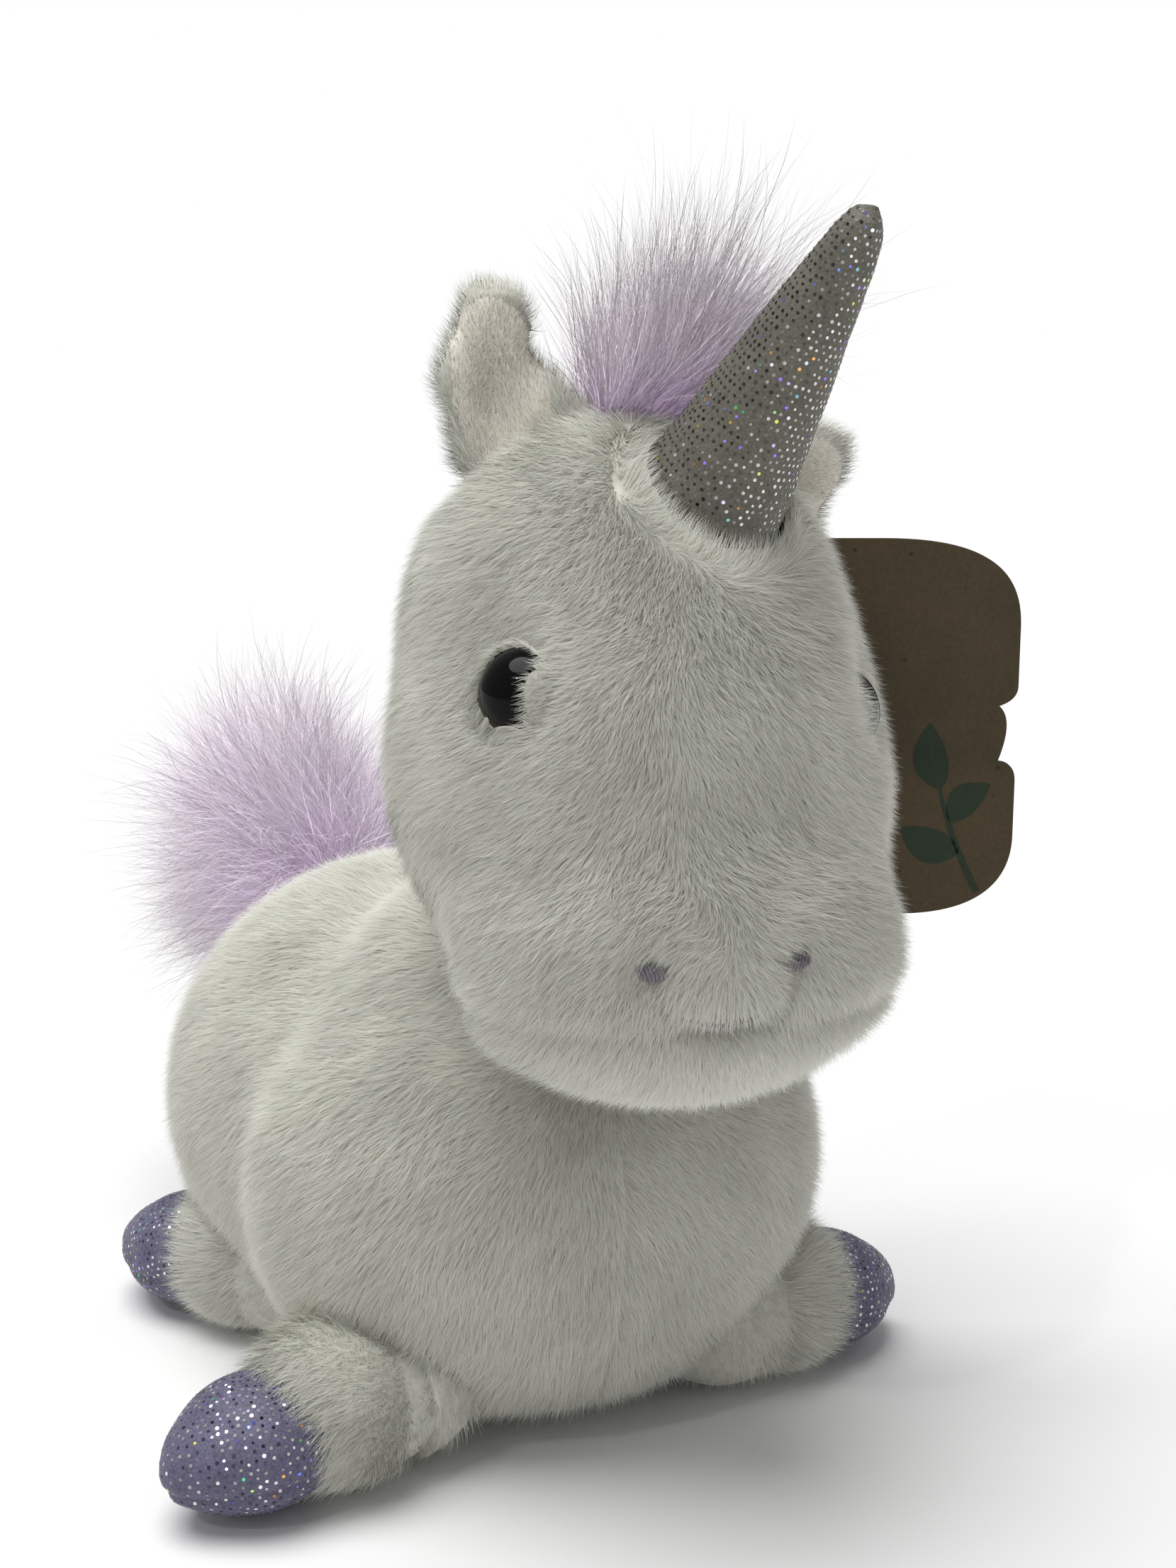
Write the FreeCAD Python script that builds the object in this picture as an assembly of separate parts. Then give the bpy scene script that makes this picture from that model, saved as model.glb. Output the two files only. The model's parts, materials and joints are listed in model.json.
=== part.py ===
import FreeCAD, Part
import math
import os

# Seated plush unicorn, millimetres. +X is the animal's left, -Y is its front, +Z is up.
# The origin is the middle of the flat belly face that it sits on.

V = FreeCAD.Vector
os.makedirs("parts", exist_ok=True)

# ---- driving dimensions ----
SKIN = 1.4                        # thickness of the sewn plush skin
GAP = 0.35                        # running gap between two bodies
INSET = 0.15                      # gap between a skin and its stuffing

BODY_REAR = ((0, 20, 37), (44, 49, 39.5))
BODY_CHEST = ((2, -18, 36), (46, 34, 38.5))
BODY_MIDDLE = ((0, 2, 28), (39, 34, 30.5))
BODY_NECK = ((0, -14, 60), (28, 26, 24))
BELLY_SEAM_Z = 9.0                # height of the seam between belly panel and side panels

HEAD = V(6, -44, 105)             # middle of the skull, where the head nods
HEAD_YAW = -11.0                  # the head is turned towards the animal's right
SKULL_R = 35.0
CROWN = ((-1, 5, 16.5), (31, 29, 32))
MUZZLE = ((0, -19, -20), (30, 23, 22))
GUSSET_HALF = 14.0                # half width of the strip between the two head seams
CHIN_Z = -27.0                    # height of the chin seam below the skull middle

NECK_AXIS = V(0, 0.55, -0.835)    # from the skull middle down into the shoulders
NECK_SHELL = 2.2
NECK_ANGLE = 28.0
NECK_CORE_ANGLE = 22.0

HORN_BASE = V(6.5, -9.5, 36.5)
HORN_TIP = V(21.2, -26, 72.2)
HORN_R0 = 10.6
HORN_R1 = 3.9
HORN_SKIN = 0.8
HORN_BEND = 10.0

EAR_ROOT_R = 6.2                  # the rolled root that turns in the head
EAR_ROOT_HALF = 5.5
EAR_FLOP = 20.0
EARS = {                          # root, lean to the side, blade's half sizes, root to blade's middle
    "right": (V(-15.2, 10, 40.3), -9.0, (10.4, 5.0, 15.5), 11.5),
    "left": (V(18.0, 9, 36.0), 65.0, (9.6, 5.0, 13.5), 4.5),
}

EYES = {"left": V(28.3, -16.5, 10.0), "right": V(-24.3, -21.8, 15.0)}
EYE_R = 6.0
EYE_HEIGHT = 5.2
EYE_SINK = 3.4                    # how deep the dome's flat back sits below the skull
STEM_R = 1.8
STEM_LENGTH = 9.0
WASHER_R = 7.0
WASHER_T = 1.4

NOSTRIL_AT = (9.7, -19.0)         # sideways and height from the skull middle
NOSTRIL_SIZE = (2.6, 1.0, 1.5)
MOUTH_Z = -26.5
MOUTH_SIZE = (6.5, 0.9, 0.8)

MANE_FROM = 2.0                   # along the head, from just behind the horn
MANE_TO = 27.0
MANE_HALF = 5.0

LEG_R0 = 11.5
LEG_R1 = 10.3
LEG_SKIN = 1.2
HOOF_SKIN = 0.8
HOOF_SIZE = (14.6, 9.8, 12.4)     # half length, half height, half width
HOOF_SEAM_Z = -2.0                # below the hoof's middle
LEG_LIFT = 20.0
LEGS = {
    "front_left": (V(27, -31, 12.0), V(48.5, -27.5, 10.8)),
    "front_right": (V(-27, -31, 12.0), V(-50.5, -35.5, 10.8)),
    "rear_left": (V(26, 14, 12.0), V(39.5, 33.5, 10.8)),
    "rear_right": (V(-26, 14, 12.0), V(-39.5, 33.5, 10.8)),
}
LEG_BODY_SHARE = 0.66             # where along the leg the fur stops and the hoof starts

TAIL_ROOT = V(0, 60, 56)
TAIL_BALL_R = 7.5
TAIL_CORE_END = V(-8, 81, 73)
TAIL_CORE_R = 5.0
TAIL_WAG = 20.0
TAIL_PILE = ((-8, 90, 77), (24, 21, 26))

TAG_HOLE = V(48.3, -17.65, 128.5)
TAG_YAW = -26.0
TAG_WIDTH = 52.0
TAG_INNER = 17.0                  # from the hole to the edge next to the head
TAG_HEIGHT = 61.0
TAG_TOP = 3.8                     # from the hole up to the top edge
TAG_T = 0.5
TAG_LEAF_GAP = 0.3
TAG_HOLE_R = 2.8
TAG_CORNER = 9.0                  # on the side next to the head
TAG_TOP_CURVE = (22.0, 14.0)      # the broad outer corners: across and down
TAG_FOOT_CURVE = (18.0, 13.0)
TAG_NOTCHES = (-22.9, -32.0)      # heights of the two notches in the outer edge
TAG_NOTCH_DEPTH = 2.9
TAG_NOTCH_REACH = 3.2
FASTENER_R = 0.5
FASTENER_BEND = 5.0               # from the bend to the tag's hole
FASTENER_REACH = 6.0              # from the hole to the bar behind the tag
FASTENER_BAR = (3.2, 0.6)         # half length and radius of the bar
FASTENER_ROOT = HEAD + V(24.0, 10.5, 24.0)


# ---- plain shape helpers ----
def vec(p):
    return V(*p)


def ball(centre, radius):
    return Part.makeSphere(radius, centre)


def ellipsoid(centre, size, seam_turn=0.0):
    """A stretched ball; seam_turn moves its seam line so that two balls' seams never meet."""
    m = FreeCAD.Matrix()
    m.scale(size[0], size[1], size[2])
    unit = Part.makeSphere(1.0)
    unit.rotate(V(0, 0, 0), V(0, 0, 1), seam_turn)
    shape = unit.transformGeometry(m)
    shape.translate(vec(centre))
    return shape


def rounded_cone(p0, r0, p1, r1):
    """Two balls joined by a cone that meets both of them smoothly."""
    axis = p1 - p0
    length = axis.Length
    axis.normalize()
    lean = (r0 - r1) / length
    shrink = math.sqrt(1.0 - lean * lean)
    a = p0 + axis * (r0 * lean)
    b = p1 + axis * (r1 * lean)
    if abs(r0 - r1) < 1e-6:
        cone = Part.makeCylinder(r0, length, a, axis)
    else:
        cone = Part.makeCone(r0 * shrink, r1 * shrink, (b - a).Length, a, axis)
    return cone.fuse([ball(p0, r0), ball(p1, r1)]).removeSplitter()


def fused(shapes):
    whole = shapes[0]
    for shape in shapes[1:]:
        whole = whole.fuse(shape)
    return whole


def cut_each(shape, tools):
    for tool in tools:
        shape = shape.cut(tool)
    return shape


def box(x0, x1, y0, y1, z0, z1):
    return Part.makeBox(x1 - x0, y1 - y0, z1 - z0, V(x0, y0, z0))


def head_place(shape):
    """Moves a shape from the head's own frame to its place above the body."""
    out = shape.copy()
    out.rotate(V(0, 0, 0), V(0, 0, 1), HEAD_YAW)
    out.translate(HEAD)
    return out


def one_solid(shape):
    solids = sorted(shape.Solids, key=lambda s: s.Volume)
    return solids[-1]


def save(node, shape):
    solid = one_solid(shape)
    solid.exportStep("parts/" + node + ".step")


# ---- head, in its own frame ----
def head_form(shrink):
    parts = [ball(V(0, 0, 0), SKULL_R - shrink)]
    for centre, size in (CROWN, MUZZLE):
        parts.append(ellipsoid(centre, [s - shrink for s in size]))
    return fused(parts)


def front_of(x, z):
    """The muzzle's front surface at a given sideways place and height."""
    c, s = MUZZLE
    k = 1.0 - ((x - c[0]) / s[0]) ** 2 - ((z - c[2]) / s[2]) ** 2
    return c[1] - s[1] * math.sqrt(max(k, 0.0))


def build_eye(name):
    out = V(EYES[name])
    seat = out.Length - EYE_SINK
    out.normalize()
    dome = ellipsoid((0, 0, 0), (EYE_R, EYE_R, EYE_HEIGHT))
    dome = dome.common(box(-9, 9, -9, 9, 0, 9))
    stem = Part.makeCylinder(STEM_R, STEM_LENGTH, V(0, 0, -STEM_LENGTH))
    eye = dome.fuse(stem)
    washer_z = -SKIN - 1.2 - WASHER_T
    washer = Part.makeCylinder(WASHER_R, WASHER_T, V(0, 0, washer_z))
    washer = washer.cut(Part.makeCylinder(STEM_R, 9, V(0, 0, -9)))
    room = Part.makeCylinder(EYE_R + 0.1, 12)
    room = room.fuse(Part.makeCylinder(STEM_R + 0.05, STEM_LENGTH + 0.2, V(0, 0, -STEM_LENGTH - 0.1)))
    washer_room = Part.makeCylinder(WASHER_R + 0.1, WASHER_T + 0.2, V(0, 0, washer_z - 0.1))
    turn = FreeCAD.Rotation(V(0, 0, 1), out)
    place = FreeCAD.Placement(out * seat, turn)
    for shape in (eye, washer, room, washer_room):
        shape.Placement = place.multiply(shape.Placement)
    save("eye_" + name, head_place(eye))
    save("eye_washer_" + name, head_place(washer))
    return room, washer_room


def build_stitches():
    made = []
    for side, name in ((-1, "right"), (1, "left")):
        x = side * NOSTRIL_AT[0]
        y = front_of(x, NOSTRIL_AT[1])
        stitch = ellipsoid((x, y, NOSTRIL_AT[1]), NOSTRIL_SIZE)
        made.append(stitch)
        save("nostril_" + name, head_place(stitch))
    y = front_of(0, MOUTH_Z)
    mouth = ellipsoid((0, y, MOUTH_Z), MOUTH_SIZE)
    made.append(mouth)
    save("mouth_stitch", head_place(mouth))
    return made


def ear_shapes(name, extra):
    """The rolled root and the flat blade of an ear, both grown by extra."""
    size, rise = EARS[name][2:]
    reach = V(EAR_ROOT_HALF, 0, 0)
    roll = rounded_cone(-reach, EAR_ROOT_R + extra, reach, EAR_ROOT_R + extra)
    blade = ellipsoid((0, 0, rise), [r + extra for r in size])
    return roll, blade


def ear_place(shape, name):
    root, lean = EARS[name][:2]
    out = shape.copy()
    out.rotate(V(0, 0, 0), V(0, 1, 0), lean)
    out.translate(root)
    return out


def build_ear(name):
    size, rise = EARS[name][2:]
    roll, blade = ear_shapes(name, 0.0)
    whole = roll.fuse(blade)
    hollow = (0, -6.2, rise + 2.0)
    scoop = ellipsoid(hollow, (size[0] - 2.0, 5.4, size[2] - 3.5))
    lined = ellipsoid(hollow, (size[0] - 0.8, 6.6, size[2] - 2.3))
    save("ear_" + name + "_lining", head_place(ear_place(whole.common(lined).cut(scoop), name)))
    save("ear_" + name + "_back", head_place(ear_place(whole.cut(lined), name)))


def ear_room(name, spare):
    """The space the ear takes as it flops back and forth, with some room to spare."""
    roll, blade = ear_shapes(name, spare)
    rooms = [ear_place(roll, name)]
    for flop_angle in (-EAR_FLOP, 0.0, EAR_FLOP):
        room = blade.copy()
        room.rotate(V(0, 0, 0), V(1, 0, 0), flop_angle)
        rooms.append(ear_place(room, name))
    return rooms


def horn_room():
    """The space the horn takes as it bends back and forth, with the gap added."""
    whole = rounded_cone(HORN_BASE, HORN_R0 + GAP, HORN_TIP, HORN_R1 + GAP)
    rooms = []
    for bend_angle in (-HORN_BEND, 0.0, HORN_BEND):
        room = whole.copy()
        room.rotate(HORN_BASE, V(1, 0, 0), bend_angle)
        rooms.append(room)
    return rooms


def build_horn():
    outer = rounded_cone(HORN_BASE, HORN_R0, HORN_TIP, HORN_R1)
    inner = rounded_cone(HORN_BASE, HORN_R0 - HORN_SKIN, HORN_TIP, HORN_R1 - HORN_SKIN)
    filling = rounded_cone(HORN_BASE, HORN_R0 - HORN_SKIN - INSET, HORN_TIP, HORN_R1 - HORN_SKIN - INSET)
    save("horn_cover", head_place(outer.cut(inner)))
    save("horn_stuffing", head_place(filling))
    return horn_room()


def build_mane():
    """A sewn-in strip along the crest and the long pile that stands on it."""
    band = box(-MANE_HALF, MANE_HALF, MANE_FROM, MANE_TO, 10, 60)
    strip = head_form(-1.0).cut(head_form(-INSET)).common(band)
    pile = head_form(-9.0).cut(head_form(-1.0 - INSET)).common(band)
    return strip, pile


# ---- the tag's nylon fastener, which is anchored in the head ----
def fastener_line(radius):
    """The bent line from inside the head to the bar behind the tag."""
    turn = FreeCAD.Rotation(V(0, 0, 1), TAG_YAW)
    away = turn.multVec(V(0, 1, 0))
    bend = TAG_HOLE - away * FASTENER_BEND
    end = TAG_HOLE + away * FASTENER_REACH
    line = rounded_cone(FASTENER_ROOT, radius, bend, radius)
    return line.fuse(rounded_cone(bend, radius, end, radius)), end, turn.multVec(V(1, 0, 0))


def build_fastener(radius):
    line, end, along = fastener_line(radius)
    reach, thick = FASTENER_BAR
    bar = rounded_cone(end - along * reach, thick, end + along * reach, thick)
    save("tag_fastener", line.fuse(bar))


# the head is hollowed for the eyes, stitches, horn, ears and fastener
outer = head_form(0.0)
inner = head_form(SKIN)
filling = head_form(SKIN + INSET)
build_ear("right")
build_ear("left")
horn_cuts = build_horn()
socket_cuts = ear_room("right", GAP + 0.1) + ear_room("left", GAP + 0.1) + horn_cuts
wide_cuts = ear_room("right", GAP + 0.4) + ear_room("left", GAP + 0.4) + horn_cuts
eye_rooms = [build_eye(name) for name in EYES]
pierced = fastener_line(FASTENER_R + 0.06)[0]
pierced.translate(-HEAD)
pierced.rotate(V(0, 0, 0), V(0, 0, 1), -HEAD_YAW)
skin_cuts = socket_cuts + [rooms[0] for rooms in eye_rooms] + build_stitches() + [pierced]
skin = cut_each(outer.cut(inner), skin_cuts)
stuffing_cuts = wide_cuts + [shape for rooms in eye_rooms for shape in rooms] + [pierced]
save("head_stuffing", head_place(cut_each(filling, stuffing_cuts)))

strip, pile = build_mane()
save("mane_backing", head_place(cut_each(strip, socket_cuts)))
save("mane_pile", head_place(cut_each(pile, socket_cuts)))

far = 90
chin = box(-far, far, -far, 0, -far, CHIN_Z)
strip_box = box(-GUSSET_HALF, GUSSET_HALF, -far, far, -far, far)
lower_skin = skin.common(chin)
upper_skin = skin.cut(chin)
save("chin_panel", head_place(lower_skin))
save("forehead_gusset", head_place(upper_skin.common(strip_box)))
save("head_side_left", head_place(upper_skin.common(box(GUSSET_HALF, far, -far, far, -far, far))))
save("head_side_right", head_place(upper_skin.common(box(-far, -GUSSET_HALF, -far, far, -far, far))))


# ---- neck: a dished ring that the skull turns in ----
def neck_cap(r_in, r_out, angle):
    shell = ball(HEAD, r_out).cut(ball(HEAD, r_in))
    height = r_out + 5
    cone = Part.makeCone(0, height * math.tan(math.radians(angle)), height, HEAD, NECK_AXIS)
    return shell.common(cone)


neck_in = SKULL_R + GAP
neck_out = neck_in + NECK_SHELL
neck_core = neck_cap(neck_in, neck_out, NECK_CORE_ANGLE)
save("neck_band", neck_cap(neck_in, neck_out, NECK_ANGLE).cut(neck_core))
save("neck_stuffing", neck_core)


# ---- legs ----
def leg_frame(name):
    root, hoof = LEGS[name]
    axis = hoof - root
    axis.normalize()
    return root, hoof, axis


def hoof_form(hoof, axis, shrink):
    size = [HOOF_SIZE[0] - shrink, HOOF_SIZE[2] - shrink, HOOF_SIZE[1] - shrink]
    shape = ellipsoid((0, 0, 0), size)
    shape.rotate(V(0, 0, 0), V(0, 0, 1), math.degrees(math.atan2(axis.y, axis.x)))
    shape.translate(V(hoof.x, hoof.y, HOOF_SIZE[1]))
    return shape


def beyond(point, axis, size=60):
    """A block that fills everything past a plane across the leg."""
    flat = V(axis.x, axis.y, 0)
    flat.normalize()
    block = Part.makeBox(size, 2 * size, 2 * size, V(0, -size, -size))
    block.rotate(V(0, 0, 0), V(0, 0, 1), math.degrees(math.atan2(flat.y, flat.x)))
    block.translate(point)
    return block


def build_leg(name):
    root, hoof, axis = leg_frame(name)
    split = root + (hoof - root) * LEG_BODY_SHARE
    past = beyond(split, axis)
    limb = [rounded_cone(root, LEG_R0 - k, hoof, LEG_R1 - k) for k in (0, LEG_SKIN, LEG_SKIN + INSET)]
    cap = [hoof_form(hoof, axis, k) for k in (0, HOOF_SKIN, HOOF_SKIN + INSET)]
    leg_skin = limb[0].cut(limb[1]).cut(past)
    hoof_skin = cap[0].cut(cap[1]).common(past)
    level = HOOF_SIZE[1]
    over = box(-120, 120, -120, 120, level, 60)
    seam = box(-120, 120, -120, 120, level + HOOF_SEAM_Z, 60)
    under = box(-120, 120, -120, 120, -5, level)
    below_seam = box(-120, 120, -120, 120, -5, level + HOOF_SEAM_Z)
    save("leg_" + name + "_upper", leg_skin.common(over))
    save("leg_" + name + "_lower", leg_skin.common(under))
    save("hoof_" + name + "_top", hoof_skin.common(seam))
    save("hoof_" + name + "_sole", hoof_skin.common(below_seam))
    save("leg_" + name + "_stuffing", limb[2].cut(past).fuse(cap[2].common(past)))


def leg_room(name):
    """The space the leg takes as it lifts, with the running gap added."""
    root, hoof, axis = leg_frame(name)
    across = axis.cross(V(0, 0, 1))
    rooms = []
    for step in range(3):
        spare = GAP + 0.5 - 0.1 * step
        room = rounded_cone(root, LEG_R0 + spare, hoof, HOOF_SIZE[2] + spare)
        room.rotate(root, across, LEG_LIFT * step / 2.0)
        rooms.append(room)
    return rooms


def leg_hollow(name):
    """One simple hollow in the stuffing, larger than all of the leg's room."""
    root, hoof, axis = leg_frame(name)
    room = rounded_cone(root, LEG_R0 + 2.0, hoof, HOOF_SIZE[2] + 7.0)
    room.rotate(root, axis.cross(V(0, 0, 1)), LEG_LIFT / 2.0)
    return room


for leg in LEGS:
    build_leg(leg)

# ---- tail ----
core = rounded_cone(TAIL_ROOT, TAIL_BALL_R, TAIL_CORE_END, TAIL_CORE_R)
save("tail_core", core)
core_room = rounded_cone(TAIL_ROOT, TAIL_BALL_R + 0.02, TAIL_CORE_END, TAIL_CORE_R + 0.02)
save("tail_pile", ellipsoid(*TAIL_PILE).cut(core_room))


# ---- body ----
def body_form(shrink):
    lumps = (BODY_REAR, BODY_CHEST, BODY_MIDDLE, BODY_NECK)
    balls = []
    for i, (centre, size) in enumerate(lumps):
        balls.append(ellipsoid(centre, [s - shrink for s in size], 25.0 + 40.0 * i))
    form = fused(balls)
    return form.cut(box(-90, 90, -90, 120, -30, shrink))


chin_room = head_place(ellipsoid(MUZZLE[0], [s + 4.5 for s in MUZZLE[1]]))
body_cuts = [ball(HEAD, neck_out + GAP), chin_room]
for wag_angle in (-TAIL_WAG, 0.0, TAIL_WAG):
    tail_room = rounded_cone(TAIL_ROOT, TAIL_BALL_R + GAP, TAIL_CORE_END, TAIL_CORE_R + GAP)
    tail_room.rotate(TAIL_ROOT, V(0, 0, 1), wag_angle)
    body_cuts.append(tail_room)
for leg in LEGS:
    body_cuts.extend(leg_room(leg))
tail_hollow = rounded_cone(TAIL_ROOT, TAIL_BALL_R + 1.8, TAIL_CORE_END, TAIL_CORE_R + 2.0)
hollows = [ball(HEAD, neck_out + GAP + INSET), chin_room, tail_hollow]
hollows += [leg_hollow(leg) for leg in LEGS]
body_skin = cut_each(body_form(0.0).cut(body_form(SKIN)), body_cuts)
save("body_stuffing", cut_each(body_form(SKIN + INSET), hollows))
belly = box(-90, 90, -90, 120, -5, BELLY_SEAM_Z)
side_skin = body_skin.cut(belly)
save("belly_panel", body_skin.common(belly))
save("body_side_left", side_skin.common(box(0, 90, -90, 120, -5, 120)))
save("body_side_right", side_skin.common(box(-90, 0, -90, 120, -5, 120)))


# ---- hang tag and its fastener ----
def tag_place(shape):
    """From the tag's own frame, X across, Y away from the face, Z up, hole at zero."""
    out = shape.copy()
    out.rotate(V(0, 0, 0), V(0, 0, 1), TAG_YAW)
    out.translate(TAG_HOLE)
    return out


def tag_outline(y0):
    """Square at the head's side; two broad curves and a notched edge at the other side."""
    x0 = -TAG_INNER
    x1 = TAG_WIDTH - TAG_INNER
    z0 = TAG_TOP - TAG_HEIGHT
    z1 = TAG_TOP
    top, foot, r = TAG_TOP_CURVE, TAG_FOOT_CURVE, TAG_CORNER
    upper, lower = TAG_NOTCHES
    deep, reach = x1 - TAG_NOTCH_DEPTH, TAG_NOTCH_REACH
    middle = (upper + lower) / 2.0
    runs = [
        [(x0 + r, z1), (x1 - top[0], z1)],
        [(x1 - top[0], z1), (x1 - 0.25 * top[0], z1), (x1, z1 - 0.35 * top[1]), (x1, z1 - top[1])],
        [(x1, z1 - top[1]), (x1, upper + reach)],
        [(x1, upper + reach), (x1, upper + 1.0), (deep, upper)],
        [(deep, upper), (x1 - 1.2, upper - 1.5), (x1 - 1.2, middle), (deep, lower)],
        [(deep, lower), (x1, lower), (x1, lower - reach)],
        [(x1, lower - reach), (x1, z0 + foot[1])],
        [(x1, z0 + foot[1]), (x1, z0 + 0.4 * foot[1]), (x1 - 0.3 * foot[0], z0), (x1 - foot[0], z0)],
        [(x1 - foot[0], z0), (x0 + r, z0)],
        [(x0 + r, z0), (x0 + 0.45 * r, z0), (x0, z0 + 0.45 * r), (x0, z0 + r)],
        [(x0, z0 + r), (x0, z1 - r)],
        [(x0, z1 - r), (x0, z1 - 0.45 * r), (x0 + 0.45 * r, z1), (x0 + r, z1)],
    ]
    edges = []
    for run in runs:
        curve = Part.BezierCurve()
        curve.setPoles([V(x, y0, z) for x, z in run])
        edges.append(curve.toShape())
    return Part.Wire(edges)


def tag_leaf(y0):
    face = Part.Face(tag_outline(y0))
    hole = Part.makeCylinder(TAG_HOLE_R, 9, V(0, -4, 0), V(0, 1, 0))
    return face.extrude(V(0, TAG_T, 0)).cut(hole)


half = TAG_LEAF_GAP / 2.0
save("tag_front", tag_place(tag_leaf(-half - TAG_T)))
save("tag_back", tag_place(tag_leaf(half)))
build_fastener(FASTENER_R)
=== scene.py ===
import json
import math
import bpy
import bmesh
import numpy as np
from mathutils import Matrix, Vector
from mathutils.bvhtree import BVHTree


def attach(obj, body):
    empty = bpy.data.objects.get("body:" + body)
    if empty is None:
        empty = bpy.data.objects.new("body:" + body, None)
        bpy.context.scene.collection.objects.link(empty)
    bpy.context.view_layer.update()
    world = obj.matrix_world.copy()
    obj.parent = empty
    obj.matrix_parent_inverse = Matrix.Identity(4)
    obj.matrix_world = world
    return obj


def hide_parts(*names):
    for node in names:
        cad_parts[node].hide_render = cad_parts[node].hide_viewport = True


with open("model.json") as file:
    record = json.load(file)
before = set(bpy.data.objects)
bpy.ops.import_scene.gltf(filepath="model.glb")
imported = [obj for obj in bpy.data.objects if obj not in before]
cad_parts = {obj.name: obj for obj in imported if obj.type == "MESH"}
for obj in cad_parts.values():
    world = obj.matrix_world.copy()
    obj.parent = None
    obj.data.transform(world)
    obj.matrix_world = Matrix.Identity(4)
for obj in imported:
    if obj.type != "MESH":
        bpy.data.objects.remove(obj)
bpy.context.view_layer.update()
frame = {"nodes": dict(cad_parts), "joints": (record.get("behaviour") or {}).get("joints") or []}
MM = 0.001

# ---- places, millimetres
PIVOT = {joint["name"]: np.array(joint["pos_m"]) / MM for joint in frame["joints"]}
HEAD = PIVOT["head_nod"]
HEAD_YAW = math.radians(-11.0)
BODY_LUMPS = [
    ((0, 20, 37), (44, 49, 39.5)),
    ((2, -18, 36), (46, 34, 38.5)),
    ((0, 2, 28), (39, 34, 30.5)),
    ((0, -14, 60), (28, 26, 24)),
]
CROWN = ((-1, 5, 16.5), (31, 29, 32))
MUZZLE = ((0, -19, -20), (30, 23, 22))
HEAD_LUMPS = [((0, 0, 0), (35, 35, 35)), CROWN, MUZZLE]
EYES = {"right": np.array([-24.3, -21.6, 15.8]), "left": np.array([28.3, -16.5, 10.0])}
EYE_SINK = 4.4
EYE_DOME = (5.95, 5.15)
FACE_LUMPS = [
    ((28.0, -20.0, -29.0), 2.6, 9.0),
    ((-26.0, -22.0, -31.0), 1.8, 9.0),
    ((2.0, -36.0, 2.0), -1.6, 12.0),
    ((22.0, -29.0, -2.0), -1.8, 10.0),
    ((-22.0, -26.0, 27.0), 0.8, 9.0),
]
NOSTRIL = (9.7, -19.0)
MOUTH_Z = -26.5
CHIN_Z = -27.0
HORN_REACH = np.array([14.7, -16.5, 35.7])
HORN_R = (10.6, 3.9)
EAR_LEAN = {"right": -9.0, "left": 65.0}
EAR_RISE = {"right": 11.5, "left": 4.5}
EAR_HALF = {"right": 15.5, "left": 13.5}
EAR_ROOT_HALF = 5.5
HOOF_AT = {
    "front_left": (48.5, -27.5, 10.8),
    "front_right": (-50.5, -35.5, 10.8),
    "rear_left": (39.5, 33.5, 10.8),
    "rear_right": (-39.5, 33.5, 10.8),
}
HOOF_SIZE = (14.2, 12.2, 9.7)
HOOF_SEAM_Z = 7.6
LEGS = {name: (PIVOT["leg_" + name + "_lift"], np.array(at)) for name, at in HOOF_AT.items()}
LEG_SHARE = 0.66
TAIL_ROOT = PIVOT["tail_wag"]
TAIL_END = np.array([-8.0, 81.0, 73.0])
TAG_HOLE = PIVOT["tag_swing"]
TAG_YAW = math.radians(-26.0)
TAG_GAP = 0.15
CARD_THICK = 0.5
INK_PROUD = 0.04

# ---- sewn and stuffed parts: millimetres, and strands to a square millimetre
FLOOR_GAP = 0.15
LEG_SEAT_R = (12.1, 12.4)
HEAD_SEAT_R = 38.0
TAIL_SEAT_R = 8.0
HORN_SEAT_GAP = 0.4
EAR_SEAT_R = 5.6
STUFFED = 0.9
BELLY_TOP_Z = 9.0
CLOTH_PRESSURE = 4.0
CLOTH_STEPS = 20
PILE_LAYERS = ("a", "b", "c")
PILE_WIDTH = 0.12
PILE_SINK = 0.25
SHADING_JITTER = 0.12
BODY_PILE = {"belly": 2.0, "side": 4.6, "length": 4.6}
HEAD_PILE = {"density": 5.4, "length": 4.2}
LEG_PILE = {"density": 11.0, "length": 4.4}
EAR_PILE = {"density": 14.0, "back": 3.4, "lining": 1.9}
HOOF_DOT_PITCH = 1.2
HOOF_DOT_R = 0.27
HORN_DOT_PITCH = 1.12
HORN_DOT_R = 0.25
DOT_CORNERS = 7

# ---- dents in the face: how deep, and how wide
SEAM_DENT = (0.35, 1.6)
EYE_DENT = (3.4, 8.5)
NOSTRIL_DENT = (2.4, 3.4)
CHIN_DENT = (0.8, 1.5)
MOUTH_DENT = (1.8, 1.8, 9.0)
LID_OPENING = (5.6, 3.5)

# ---- long hair: name, strands, shortest, longest, steps, width, curl, lean of the mane, seed
MANE_LAYERS = (
    ("mane_underfur", 5500, 12.0, 36.0, 6, 0.20, 0.6, 0.66, 71),
    ("mane_guard_hairs", 3600, 16.0, 47.0, 8, 0.15, 0.9, 0.40, 72),
)
TAIL_LAYERS = (
    ("tail_underfur", 26000, 20.0, 32.0, 5, 0.22, 0.9, 81),
    ("tail_guard_hairs", 9000, 26.0, 41.0, 6, 0.15, 1.1, 82),
)
MANE_DROOP = 0.05
TAIL_DROOP = 0.12


# ---- camera, light, floor
AMBIENT = 0.36
KEY_POWER = 2.9
SPARKLE_POWER = 0.22
VIEW_ANGLES = (math.radians(-26.0), math.radians(12.0))
VIEW_DISTANCE = 0.350
VIEW_TARGET = (0.0175, -0.004, 0.093)


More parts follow.
